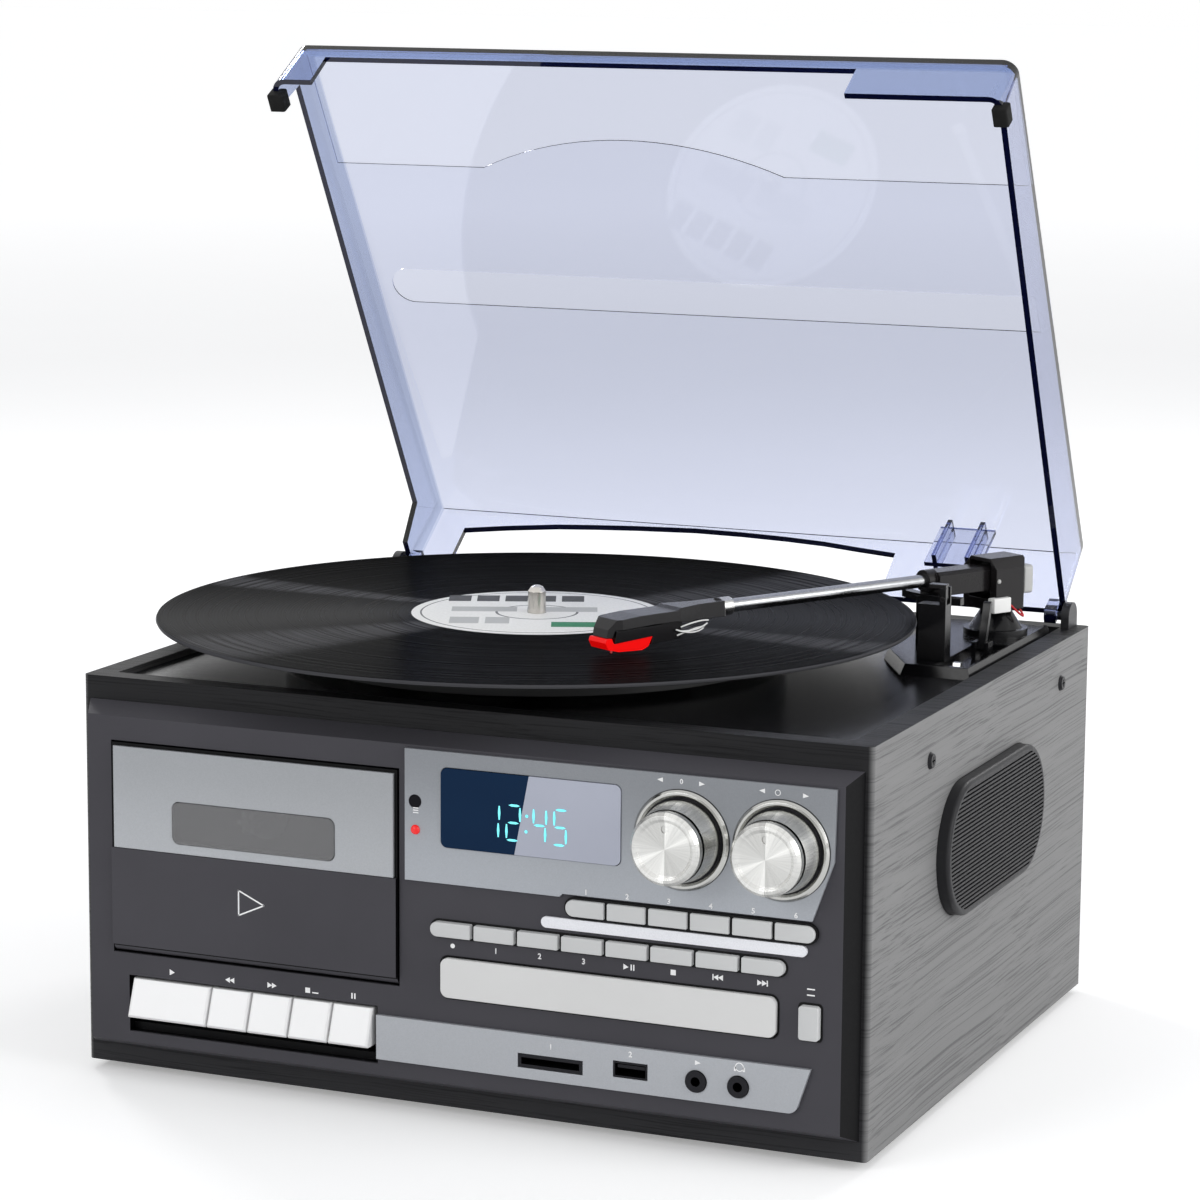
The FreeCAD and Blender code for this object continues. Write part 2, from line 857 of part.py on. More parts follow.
def tray_runners():
    """Two rails behind the bezel that the disc tray slides on."""
    rails = []
    top = cabinet_floor + tray_bottom + tray_body_lift - fit_gap
    for left in (tray_left + tray_body_inset, tray_right - tray_body_inset - runner_width):
        rails.append(box(left, left + runner_width, bezel_y + bezel_wall,
                         bezel_y + runner_length, top - runner_height, top))
    return rails


def display_facia():
    """The silver panel round the display and knobs, with its cut away lower right corner."""
    outline = [(facia_left, facia_bottom - facia_step_drop), (facia_step_x, facia_bottom - facia_step_drop),
               (facia_step_x + facia_step_drop, facia_bottom), (facia_heel_right, facia_bottom),
               (facia_waist_right, facia_waist), (facia_right, facia_top), (facia_left, facia_top)]
    outline = [(x, cabinet_floor + z) for x, z in outline]
    y = bezel_y - facia_thickness
    body = front_prism(outline, y, facia_thickness)
    depth = facia_thickness + 2 * overrun
    start = y - overrun
    tools = [front_rounded(display_left - fit_gap, display_right + fit_gap,
                           cabinet_floor + display_bottom - fit_gap,
                           cabinet_floor + display_top + fit_gap, display_radius, start, depth)]
    for x, z, radius in (
            (tuning_x, knob_z, knob_ring_radius + fit_gap),
            (volume_x, knob_z, knob_ring_radius + fit_gap),
            (remote_lens_x, remote_lens_z, remote_lens_radius + fit_gap),
            (led_x, led_z, led_radius + fit_gap)):
        tools.append(rod(radius, depth, (x, start, cabinet_floor + z), (0, 1, 0)))
    return cut(body, *tools)


def front_lenses():
    """The display window, the remote control window and the power lamp."""
    y = bezel_y - facia_thickness
    window = front_rounded(display_left, display_right, cabinet_floor + display_bottom,
                           cabinet_floor + display_top, display_radius, y - display_proud,
                           facia_thickness + display_proud)
    remote = rod(remote_lens_radius, facia_thickness + lens_depth,
                 (remote_lens_x, y, cabinet_floor + remote_lens_z), (0, 1, 0))
    lamp_z = cabinet_floor + led_z
    lamp_profile = (
        (0, -led_radius / 2), (led_radius * lamp_dome_share, -led_radius / 3), (led_radius, 0),
        (led_radius, facia_thickness + lens_depth), (0, facia_thickness + lens_depth))
    lamp = turned(lamp_profile, (led_x, y, lamp_z), (0, 1, 0))
    return group([window, remote, lamp])


def facia_trim():
    """The silver rings round the knobs and the white label bar."""
    z = cabinet_floor + knob_z
    bevel = (knob_ring_radius - knob_ring_inner_radius) / 3
    profile = (
        (knob_ring_inner_radius, 0), (knob_ring_radius, 0), (knob_ring_radius, bevel - knob_ring_proud),
        (knob_ring_radius - bevel, -knob_ring_proud),
        (knob_ring_inner_radius + bevel, -knob_ring_proud),
        (knob_ring_inner_radius, bevel - knob_ring_proud))
    rings = [turned(profile, (x, bezel_y, z), (0, 1, 0)) for x in (tuning_x, volume_x)]
    bar_z = cabinet_floor + label_bar_z
    bar = front_slot(label_bar_left, label_bar_right, bar_z - label_bar_height / 2,
                     bar_z + label_bar_height / 2, bezel_y - label_bar_thickness, label_bar_thickness)
    return group(rings + [bar])


def knob(x):
    """A turned knob: skirt, conical collar, and a dished spun cap with a notch."""
    z = cabinet_floor + knob_z
    reach = -knob_reach
    profile = (
        (0, knob_shaft_length), (knob_shaft_radius, knob_shaft_length), (knob_shaft_radius, -fit_gap),
        (knob_skirt_radius, -fit_gap), (knob_skirt_radius, -knob_skirt_reach),
        (knob_neck_radius, reach + knob_cap_length), (knob_cap_radius - knob_rim, reach + knob_cap_length),
        (knob_cap_radius - knob_rim, reach + knob_cap_length - knob_rim),
        (knob_cap_radius, reach + knob_cap_length - knob_rim), (knob_cap_radius, reach + knob_rim),
        (knob_cap_radius - knob_rim, reach), (knob_cap_radius - 2 * knob_rim, reach),
        (knob_cap_radius - 3 * knob_rim, reach + knob_dish_depth), (0, reach + knob_dish_depth))
    body = turned(profile, (x, bezel_y, z), (0, 1, 0))
    notch_z = z + knob_cap_radius - 4 * knob_rim - knob_notch_radius
    notch = rod(knob_notch_radius, knob_notch_depth + overrun,
                (x, bezel_y - knob_reach + knob_dish_depth - overrun, notch_z), (0, 1, 0))
    return cut(body, notch)


def window_cut(y, depth, gap):
    return front_rounded(window_left - gap, window_right + gap, cabinet_floor + window_bottom - gap,
                         cabinet_floor + window_top + gap, window_radius, y, depth)


def door_front():
    return bezel_y - door_inset


def cassette_door():
    """The dark door: a plate with a thicker lower part, a round hinge edge and two cassette guides."""
    left = door_left + door_gap
    right = door_right - door_gap
    bottom = cabinet_floor + door_bottom + door_gap
    top = cabinet_floor + door_top - door_gap
    y = door_front()
    radius = door_thickness / 2
    plate = box(left, right, y, y + door_thickness, bottom + radius, top)
    hinge = rod(radius, right - left, (left, y + radius, bottom + radius), (1, 0, 0))
    proud = box(left, right, y - door_lower_proud, y + overrun, bottom + radius, cabinet_floor + door_split)
    body = fused(plate, hinge, proud)
    ribs = []
    for x in (left + door_rib_width, right - 2 * door_rib_width):
        ribs.append(box(x, x + door_rib_width, y + door_thickness - overrun,
                        y + door_thickness + door_rib_depth, bottom + door_thickness,
                        bottom + door_thickness + door_rib_height))
    body = fused(body, *ribs)
    return cut(body, window_cut(y - overrun, door_thickness + 2 * overrun, fit_gap))


def door_panel():
    """The silver plate on the upper part of the door, round the window."""
    y = door_front() - door_panel_thickness
    left = door_left + door_gap + door_panel_margin
    right = door_right - door_gap - door_panel_margin
    body = box(left, right, y, door_front(), cabinet_floor + door_split + fit_gap,
               cabinet_floor + door_top - door_gap - door_panel_margin)
    return cut(body, window_cut(y - overrun, door_panel_thickness + 2 * overrun, fit_gap))


def cassette_window():
    y = door_front() - door_panel_thickness - window_proud
    return window_cut(y, window_thickness + door_panel_thickness + window_proud, 0)


def well_rear():
    return bezel_y + well_depth


def cassette_well():
    """The cassette compartment behind the door, open in front, with the tape head at the bottom."""
    left = door_left
    right = door_right
    bottom = cabinet_floor + door_bottom
    top = cabinet_floor + door_top
    y = bezel_y + bezel_wall + fit_gap
    body = box(left - well_wall, right + well_wall, y, well_rear() + well_wall, bottom - well_wall,
               top + well_wall)
    hollow = box(left, right, y - overrun, well_rear(), bottom, top)
    tools = [hollow]
    for x in (hub_left_x, hub_left_x + hub_spacing):
        tools.append(rod(hub_shaft_radius + shaft_clearance, well_wall + 2 * overrun,
                         (x, well_rear() - overrun, cabinet_floor + hub_z), (0, 1, 0)))
    body = cut(body, *tools)
    x = hub_left_x + hub_spacing / 2
    head_z = cabinet_floor + tape_head_z
    head = front_rounded(x - tape_head_width / 2, x + tape_head_width / 2, bottom, head_z
                         + tape_head_height / 2, tape_head_height / 4, well_rear() - tape_head_depth,
                         tape_head_depth + well_wall / 2)
    return fused(body, head)


def reel_hub(x):
    """A splined reel spindle on a disc, with a thin shaft through the rear of the well."""
    z = cabinet_floor + hub_z
    rear = well_rear() - fit_gap
    disc = rod(hub_disc_radius, hub_disc_thickness, (x, rear - hub_disc_thickness, z), (0, 1, 0))
    core = Part.makeCone(hub_core_radius * hub_core_tip_share, hub_core_radius, hub_length,
                         Vector(x, rear - hub_disc_thickness - hub_length, z), Vector(0, 1, 0))
    shaft = rod(hub_shaft_radius, well_wall + 3 * fit_gap, (x, rear, z), (0, 1, 0))
    splines = []
    for index in range(hub_spline_count):
        spline = box(x, x + hub_radius, rear - hub_length, rear - hub_disc_thickness + overrun / 2,
                     z - hub_spline_width / 2, z + hub_spline_width / 2)
        spline.rotate(Vector(x, 0, z), Vector(0, 1, 0), 360 * index / hub_spline_count)
        splines.append(spline)
    return fused(disc, core, shaft, *splines)


def key_axle_z():
    return cabinet_floor + key_top - key_axle_drop


def cassette_key(index):
    """A piano key: its face leans out towards the bottom, and a stem runs back to the axle."""
    left = key_left_edges[index]
    right = key_right_edges[index]
    top = cabinet_floor + key_top
    bottom = cabinet_floor + key_bottom
    side = [
        Vector(left, bezel_y - key_proud_top, top),
        Vector(left, bezel_y - key_proud_bottom, bottom + key_edge_radius),
        Vector(left, bezel_y - key_proud_bottom + key_edge_radius, bottom),
        Vector(left, bezel_y + key_back, bottom),
        Vector(left, bezel_y + key_back, top - 2 * key_axle_drop),
        Vector(left, bezel_y + key_stem_depth, top - 2 * key_axle_drop),
        Vector(left, bezel_y + key_stem_depth, top),
    ]
    body = face_of(side).extrude(Vector(right - left, 0, 0))
    upright = [edge for edge in body.Edges
               if edge.BoundBox.YMax < bezel_y and edge.BoundBox.ZLength > (key_top - key_bottom) / 2]
    body = body.makeFillet(key_edge_radius, upright)
    bore = rod(key_axle_radius + shaft_clearance, right - left + 2 * overrun,
               (left - overrun, bezel_y + key_stem_depth - key_axle_drop, key_axle_z()), (1, 0, 0))
    return cut(body, bore)


def disc_tray():
    """The disc drawer: a rounded front, a flat body with a disc recess, a hub hole and a slot."""
    left = tray_left
    right = tray_right
    bottom = cabinet_floor + tray_bottom
    top = cabinet_floor + tray_top
    y = bezel_y - tray_front_proud
    front = front_rounded(left, right, bottom, top, tray_corner_radius, y, tray_front_thickness)
    inset = tray_body_inset
    body_bottom = bottom + tray_body_lift
    body_top = body_bottom + tray_body_height
    rear = y + tray_length
    body = box(left + inset, right - inset, y + tray_front_thickness - overrun, rear, body_bottom, body_top)
    x = (left + right) / 2
    disc_y = y + tray_front_thickness + disc_recess_gap + disc_radius
    tray = fused(front, body)
    recess = rod(disc_radius, disc_recess_depth + overrun, (x, disc_y, body_top - disc_recess_depth),
                 (0, 0, 1))
    hole = rod(spindle_hole_radius, tray_body_height + 2 * overrun, (x, disc_y, body_bottom - overrun),
               (0, 0, 1))
    slot = box(x - tray_slot_width / 2, x + tray_slot_width / 2, disc_y, rear + overrun,
               body_bottom - overrun, body_top + overrun)
    return cut(tray, recess, hole, slot)


def lower_strip():
    """The silver strip that carries the front sockets, with its slanted right end."""
    outline = [(strip_left, strip_bottom), (strip_heel_right, strip_bottom), (strip_right, strip_top),
               (strip_left, strip_top)]
    outline = [(x, cabinet_floor + z) for x, z in outline]
    y = bezel_y - strip_thickness
    body = front_prism(outline, y, strip_thickness)
    heel = [edge for edge in body.Edges if edge.BoundBox.YLength > strip_thickness / 2
            and edge.BoundBox.XMin > strip_heel_right - strip_thickness
            and edge.BoundBox.ZMax < cabinet_floor + strip_bottom + strip_thickness]
    body = body.makeFillet(strip_radius, heel)
    depth = strip_thickness + 2 * overrun
    start = y - overrun
    card_half = card_slot_height / 2 + socket_frame + fit_gap
    usb_half = usb_height / 2 + fit_gap
    tools = [box(card_left - fit_gap, card_left + card_width + fit_gap, start, start + depth,
                 cabinet_floor + card_z - card_half, cabinet_floor + card_z + card_half),
             box(usb_left - fit_gap, usb_left + usb_width + fit_gap, start, start + depth,
                 cabinet_floor + usb_z - usb_half, cabinet_floor + usb_z + usb_half)]
    for x in (aux_x, phones_x):
        tools.append(rod(jack_radius + fit_gap, depth, (x, start, cabinet_floor + jack_z), (0, 1, 0)))
    return cut(body, *tools)


def front_socket_shells():
    y = bezel_y - strip_thickness
    half = card_slot_height / 2
    z = cabinet_floor + card_z
    card = box(card_left, card_left + card_width, y, y + socket_depth, z - half - socket_frame,
               z + half + socket_frame)
    card = cut(card, box(card_left + socket_frame, card_left + card_width - socket_frame, y - overrun,
                         y + socket_depth - socket_frame, z - half, z + half))
    z = cabinet_floor + usb_z
    half = usb_height / 2
    usb = box(usb_left, usb_left + usb_width, y, y + socket_depth, z - half, z + half)
    usb = cut(usb, box(usb_left + usb_shell, usb_left + usb_width - usb_shell, y - overrun,
                       y + socket_depth - socket_frame, z - half + usb_shell, z + half - usb_shell))
    tongue = box(usb_left + socket_frame, usb_left + usb_width - socket_frame, y + overrun,
                 y + socket_depth - socket_frame / 2, z + half - usb_shell - usb_tongue,
                 z + half - 2 * usb_shell)
    shells = [card, fused(usb, tongue)]
    for x in (aux_x, phones_x):
        centre = (x, y - jack_proud, cabinet_floor + jack_z)
        bush = rod(jack_radius, jack_depth, centre, (0, 1, 0))
        bore = rod(jack_bore_radius, jack_depth - socket_frame + overrun,
                   (x, y - jack_proud - overrun, cabinet_floor + jack_z), (0, 1, 0))
        shells.append(cut(bush, bore))
    return shells


def rear_socket_shells():
    z = cabinet_floor + phono_lift
    base = rear_y - rear_panel_thickness
    shells = []
    for x in (phono_x, phono_x + phono_spacing):
        shank = rod(phono_shank_radius, rear_panel_thickness + overrun, (x, base - overrun, z), (0, 1, 0))
        collar = rod(phono_collar_radius, phono_collar_height, (x, rear_y, z), (0, 1, 0))
        barrel = rod(phono_radius, phono_length, (x, rear_y, z), (0, 1, 0))
        bore = rod(phono_bore_radius, phono_length, (x, rear_y + phono_collar_height, z), (0, 1, 0))
        shells.append(cut(fused(shank, collar, barrel), bore))
    depth = inlet_depth
    inlet = box(inlet_x - inlet_width / 2, inlet_x + inlet_width / 2, rear_y + inlet_proud - depth,
                rear_y + inlet_proud, z - inlet_height / 2, z + inlet_height / 2)
    hollow = box(inlet_x - inlet_width / 2 + inlet_wall, inlet_x + inlet_width / 2 - inlet_wall,
                 rear_y + inlet_proud - depth + inlet_wall, rear_y + inlet_proud + overrun,
                 z - inlet_height / 2 + inlet_wall, z + inlet_height / 2 - inlet_wall)
    inlet = cut(inlet, hollow)
    pins = [rod(inlet_pin_radius, depth - 2 * inlet_wall,
                (inlet_x + side * inlet_pin_spacing / 2, rear_y + inlet_proud - depth + inlet_wall / 2, z),
                (0, 1, 0)) for side in (-1, 1)]
    shells.append(fused(inlet, *pins))
    return shells


def sockets():
    return group(front_socket_shells() + rear_socket_shells())


def pulley_place():
    angle = math.radians(pulley_angle)
    return (record_x + pulley_distance * math.cos(angle), record_y + pulley_distance * math.sin(angle))


def deck_plate():
    """The turntable deck with its round recess, platter bearing, motor housing and tonearm holes."""
    left = -half_width + side_board + fit_gap
    front = front_y + front_board + fit_gap
    rear = rear_y - rear_board - fit_gap
    body = box(left, -left, front, rear, deck_z - deck_thickness, deck_z)
    x, y = pulley_place()
    under = deck_z - deck_thickness
    bearing = rod(bearing_radius + bearing_wall, bearing_length - deck_thickness,
                  (record_x, record_y, deck_z - bearing_length), (0, 0, 1))
    motor = rod(motor_radius, motor_height, (x, y, under - motor_height), (0, 0, 1))
    body = fused(body, bearing, motor)
    recess = rod(deck_recess_radius, deck_recess_depth + overrun,
                 (record_x, record_y, deck_z - deck_recess_depth), (0, 0, 1))
    bore = rod(bearing_radius + shaft_clearance, bearing_length + 2 * overrun,
               (record_x, record_y, deck_z - bearing_length - overrun), (0, 0, 1))
    shaft_hole = rod(pulley_shaft_radius + shaft_clearance, pulley_shaft_length + overrun,
                     (x, y, deck_z - deck_recess_depth - pulley_shaft_length), (0, 0, 1))
    step = box(left - overrun, -left + overrun, front - overrun, front + deck_step_width, deck_z
               - deck_recess_depth / 2, deck_z + overrun)
    return cut(body, recess, bore, shaft_hole, step)


def platter():
    """The pressed platter, its drive ring, its rubber ring and the spindle, turned about one axis."""
    top = platter_rim_height
    inner = platter_radius - platter_wall
    under = top - platter_top_thickness
    tip = top + platter_mat_thickness + record_thickness + spindle_reach
    round_off = spindle_radius / 3
    profile = (
        (0, -bearing_length), (bearing_radius, -bearing_length), (bearing_radius, 0), (hub_boss_radius, 0),
        (hub_boss_radius, under), (drive_ring_radius - drive_ring_width, under),
        (drive_ring_radius - drive_ring_width, under - drive_ring_depth),
        (drive_ring_radius, under - drive_ring_depth), (drive_ring_radius, under), (inner, under),
        (inner, 0), (platter_radius, 0), (platter_radius, top - platter_wall),
        (platter_radius - platter_wall, top),
        (platter_mat_outer_radius, top), (platter_mat_outer_radius, top + platter_mat_thickness),
        (platter_mat_inner_radius, top + platter_mat_thickness), (platter_mat_inner_radius, top),
        (hub_boss_radius, top), (hub_boss_radius, top + platter_mat_thickness),
        (spindle_radius, top + platter_mat_thickness), (spindle_radius, tip - 2 * round_off),
        (spindle_radius - round_off, tip - round_off / 2), (spindle_radius - 2 * round_off, tip), (0, tip))
    return turned(profile, (record_x, record_y, platter_bottom), (0, 0, 1))


def vinyl_record():
    """A twelve inch record: raised edge and label, grooved band slightly lower."""
    hole = spindle_radius + record_hole_clearance
    low = record_thickness - record_groove_depth
    high = record_thickness
    label_top = high + record_label_height
    profile = (
        (hole, 0), (record_radius - record_groove_depth, 0), (record_radius, high / 2),
        (record_radius - record_groove_depth, high), (record_radius - record_edge_width, high),
        (record_radius - record_edge_width - record_groove_depth, low),
        (record_lead_out_radius, low), (record_label_radius + record_groove_depth, high),
        (record_label_radius, label_top), (hole, label_top))
    return turned(profile, (record_x, record_y, record_seat), (0, 0, 1))


def motor_pulley():
    x, y = pulley_place()
    z = deck_z + pulley_lift - deck_recess_depth
    profile = (
        (0, -pulley_shaft_length), (pulley_shaft_radius, -pulley_shaft_length),
        (pulley_shaft_radius, 0), (pulley_radius, 0), (pulley_radius, pulley_height / 4),
        (pulley_radius - pulley_groove, pulley_height / 2), (pulley_radius, 3 * pulley_height / 4),
        (pulley_radius, pulley_height), (0, pulley_height))
    return turned(profile, (x, y, z), (0, 0, 1))


def arm_base():
    """The plinth under the tonearm: slanted front, a channel for the cue lever, disc, cone and post."""
    front_left = base_right - base_nose_width
    waist = base_front + base_waist_length
    outline = [(front_left, base_front), (base_right, base_front), (base_right, base_rear),
               (base_left + base_edge_slope, base_rear), (base_left, base_rear - 2 * base_edge_slope),
               (base_left, waist)]
    bottom = Part.makePolygon([Vector(x, y, deck_z) for x, y in outline + outline[:1]])
    slope = base_edge_slope / 2
    upper = [(front_left + slope, base_front + slope), (base_right - slope, base_front + slope),
             (base_right - slope, base_rear - slope),
             (base_left + base_edge_slope + slope, base_rear - slope),
             (base_left + slope, base_rear - 2 * base_edge_slope - slope),
             (base_left + slope, waist + slope)]
    top = Part.makePolygon([Vector(x, y, plinth_z) for x, y in upper + upper[:1]])
    body = Part.makeLoft([bottom, top], True, True)
    channel = box(base_channel_right - base_channel_width, base_channel_right, base_channel_front,
                  base_channel_front + base_channel_length, plinth_z - base_channel_depth,
                  plinth_z + overrun)
    pin_start = cue_x - cue_pin_length / 2
    cue_hole = rod(cue_pin_radius + shaft_clearance, cue_pin_length + 2 * fit_gap,
                   (pin_start - fit_gap, cue_y, cue_pin_z()), (1, 0, 0))
    body = cut(body, channel)
    lugs = []
    for start in (pin_start, cue_x + cue_width / 2 + fit_gap):
        lugs.append(box(start, start + (cue_pin_length - cue_width) / 2 - fit_gap, cue_y - cue_width,
                        cue_y + cue_width, plinth_z - base_channel_depth - overrun,
                        cue_pin_z() + cue_width))
    disc_z = plinth_z
    disc = rod(pivot_disc_radius, pivot_disc_height + overrun, (arm_pivot_x, arm_pivot_y, disc_z - overrun),
               (0, 0, 1))
    cone_z = disc_z + pivot_disc_height
    cone = Part.makeCone(pivot_cone_radius, pivot_cone_top_radius, pivot_cone_height,
                         Vector(arm_pivot_x, arm_pivot_y, cone_z), Vector(0, 0, 1))
    post = rod(pivot_post_radius, pivot_post_height, (arm_pivot_x, arm_pivot_y, cone_z + pivot_cone_height
                                                      - overrun), (0, 0, 1))
    body = fused(body, disc, cone, post, *lugs)
    rod_x, rod_y = lifter_rod_place()
    lift_hole = rod(lifter_rod_radius + shaft_clearance, deck_drop + base_plinth_height + overrun,
                    (rod_x, rod_y, deck_z), (0, 0, 1))
    return cut(body, cue_hole, lift_hole)


def cue_pin_z():
    return plinth_z - base_channel_depth + cue_width


def lifter_rod_place():
    angle = math.radians(-90 - lifter_rod_angle)
    return (arm_pivot_x + lifter_radius * math.cos(angle), arm_pivot_y + lifter_radius * math.sin(angle))


def cone_top():
    return plinth_z + pivot_disc_height + pivot_cone_height


def arm_housing():
    """The pivot block: chamfered cover with a channel for the arm and bearing holes in both cheeks."""
    bottom = cone_top() + fit_gap
    top = bottom + housing_height
    half = housing_width / 2
    edge = housing_chamfer
    section = [Vector(-housing_length / 2, -half, bottom), Vector(-housing_length / 2, half, bottom),
               Vector(-housing_length / 2, half, top - edge), Vector(-housing_length / 2, half - edge, top),
               Vector(-housing_length / 2, edge - half, top), Vector(-housing_length / 2, -half, top - edge)]
    body = face_of(section).extrude(Vector(housing_length, 0, 0))
    rear_edges = [edge for edge in body.Edges if edge.BoundBox.XMax < 0 and edge.BoundBox.YLength == 0
                  and edge.BoundBox.ZLength > housing_height / 2]
    body = body.makeChamfer(housing_rear_chamfer, rear_edges)
    channel_half = collar_width / 2 + housing_gap
    channel = box(-housing_length, housing_length, -channel_half, channel_half, bottom + housing_floor,
                  top - housing_roof)
    socket = rod(pivot_post_radius + shaft_clearance, pivot_post_height, (0, 0, bottom - overrun),
                 (0, 0, 1))
    bearing = rod(trunnion_radius + shaft_clearance, 2 * trunnion_length + collar_width,
                  (0, -trunnion_length - collar_width / 2, arm_z), (0, 1, 0))
    return arm_frame(cut(body, channel, socket, bearing))


def arm_collar():
    """The dark carrier that holds the tube, with its two pivot stubs."""
    half = collar_width / 2
    body = box(-collar_rear, collar_front, -half, half, arm_z - collar_below, arm_z + collar_above)
    upper = [edge for edge in body.Edges if edge.BoundBox.XLength > collar_front
             and edge.BoundBox.ZMin > arm_z]
    body = body.makeChamfer(collar_chamfer, upper)
    mouth = rod(collar_mouth_radius, collar_mouth_length + overrun, (collar_front - overrun, 0, arm_z),
                (1, 0, 0))
    stub_length = trunnion_length - fit_gap
    stubs = rod(trunnion_radius, 2 * stub_length + collar_width, (0, -stub_length - half, arm_z), (0, 1, 0))
    bore = rod(arm_tube_radius, arm_tube_socket + collar_mouth_length + overrun,
               (collar_front - arm_tube_socket, 0, arm_z), (1, 0, 0))
    return arm_frame(cut(fused(body, mouth, stubs), bore))


def arm_tube():
    start = collar_front - arm_tube_socket
    length = head_start + head_overlap - start
    return arm_frame(rod(arm_tube_radius, length, (start, 0, arm_z), (1, 0, 0)))


def head_side(shares, half):
    """A piece of the head, drawn from the side as shares of its length and height, with its half width."""
    points = [Vector(head_start + x * head_length, -half, arm_z + z * head_height) for x, z in shares]
    return face_of(points).extrude(Vector(0, 2 * half, 0))


def headshell():
    """The faceted headshell, the cartridge block under it, and the round clip on the tube."""
    body = head_side(shell_top_shares + shell_bottom_shares[::-1], head_half_width)
    plan = [(head_start - overrun, head_neck_half_width)]
    plan += [(head_start + x * head_length, y * head_half_width) for x, y in head_plan_shares]
    plan.append((head_nose + overrun, plan[-1][1]))
    wires = []
    for z, inset in ((arm_z - head_height, 0), (arm_z + head_height / 3, head_chamfer)):
        outline = [(x, y - inset) for x, y in plan] + [(x, inset - y) for x, y in reversed(plan)]
        wires.append(Part.makePolygon([Vector(x, y, z) for x, y in outline + outline[:1]]))
    body = body.common(Part.makeLoft(wires, True, True))
    cartridge = head_side(cartridge_shares, cartridge_half_width)
    clip = rod(head_clip_radius, head_clip_length + overrun, (head_start - head_clip_length, 0, arm_z),
               (1, 0, 0))
    bore = rod(arm_tube_radius, head_clip_length + head_overlap,
               (head_start - head_clip_length, 0, arm_z), (1, 0, 0))
    return arm_frame(cut(fused(body, clip, cartridge), bore))


def stylus_holder():
    """The red stylus carrier that wraps the cartridge's front, with its thin cantilever and tip."""
    body = head_side(stylus_shares, stylus_half_width)
    base = arm_z - stylus_base_share * head_height
    tip = record_top + stylus_tip_clearance
    half = stylus_cantilever_width / 2
    point = [Vector(arm_reach - 2 * half, -half, base), Vector(arm_reach + 2 * half, -half, base),
             Vector(arm_reach + half, -half, tip), Vector(arm_reach, -half, tip)]
    needle = face_of(point).extrude(Vector(0, 2 * half, 0))
    return arm_frame(fused(body, needle))


def rest_place():
    """Where the tube crosses the rest when the arm is parked."""
    angle = math.radians(-90 - arm_angle + park_swing)
    return (arm_pivot_x + rest_radius * math.cos(angle), arm_pivot_y + rest_radius * math.sin(angle))


def arm_rest():
    """The rest post with a shallow cradle and an outer wall that carries the clip."""
    x, y = rest_place()
    top = arm_z - arm_tube_radius - rest_gap
    left = x - rest_width / 2
    wall = x + arm_tube_radius + rest_gap
    right = wall + rest_wall
    body = box(left, right, y - rest_depth / 2, y + rest_depth / 2, plinth_z, top)
    side = box(wall, right, y - rest_depth / 2, y + rest_depth / 2, top - overrun, top + rest_wall_height)
    pin_z = clip_pin_z()
    hole = rod(clip_pin_radius + shaft_clearance, rest_depth + 2 * overrun,
               (wall + rest_wall / 2, y - rest_depth / 2 - overrun, pin_z), (0, 1, 0))
    slot = box(wall - overrun, right + overrun, y - clip_depth / 2 - fit_gap, y + clip_depth / 2 + fit_gap,
               pin_z - rest_wall, top + rest_wall_height + overrun)
    return cut(fused(body, side), slot, hole)


def clip_pin_z():
    return arm_z - arm_tube_radius - rest_gap + clip_pin_rise


def arm_clip():
    """The small hook that closes over the parked tube."""
    x, y = rest_place()
    wall = x + arm_tube_radius + rest_gap
    middle = wall + rest_wall / 2
    pin_z = clip_pin_z()
    half = clip_thickness / 2
    top = pin_z + clip_rise
    outline = [Vector(middle - half, y - clip_depth / 2, pin_z - half),
               Vector(middle + half, y - clip_depth / 2, pin_z - half),
               Vector(middle + half, y - clip_depth / 2, top + clip_thickness),
               Vector(middle - clip_reach, y - clip_depth / 2, top + clip_thickness),
               Vector(middle - clip_reach, y - clip_depth / 2, top),
               Vector(middle - half, y - clip_depth / 2, top)]
    body = face_of(outline).extrude(Vector(0, clip_depth, 0))
    pin = rod(clip_pin_radius, rest_depth, (middle, y - rest_depth / 2, pin_z), (0, 1, 0))
    return fused(body, pin)


def arm_lifter():
    """The curved lift bar under the tube, on its rod."""
    top = arm_z - collar_mouth_radius - lifter_gap
    pivot = Vector(arm_pivot_x, arm_pivot_y, top - lifter_thickness)
    inner = lifter_radius - lifter_width / 2
    outer = lifter_radius + lifter_width / 2
    bar = Part.makeCylinder(outer, lifter_thickness, pivot, Vector(0, 0, 1),
                            lifter_inner_angle - lifter_outer_angle)
    bar.rotate(pivot, Vector(0, 0, 1), -90 - lifter_inner_angle)
    hollow = Part.makeCylinder(inner, lifter_thickness + 2 * overrun, pivot - Vector(0, 0, overrun))
    x, y = lifter_rod_place()
    stem = rod(lifter_rod_radius, top - deck_z - fit_gap - overrun, (x, y, deck_z + fit_gap), (0, 0, 1))
    return fused(cut(bar, hollow), stem)


def cue_lever():
    """The thin blade that raises the arm, leaning back on its pin."""
    z = cue_pin_z()
    half = cue_thickness / 2
    blade = box(cue_x - cue_width / 2, cue_x + cue_width / 2, cue_y - half, cue_y + half, z, z + cue_length)
    boss = rod(half, cue_width, (cue_x - cue_width / 2, cue_y, z), (1, 0, 0))
    end = rod(half, cue_width, (cue_x - cue_width / 2, cue_y, z + cue_length), (1, 0, 0))
    pin = rod(cue_pin_radius, cue_pin_length, (cue_x - cue_pin_length / 2, cue_y, z), (1, 0, 0))
    body = fused(blade, boss, end)
    return fused(turned_about_x(body, cue_y, z, cue_lean), pin)


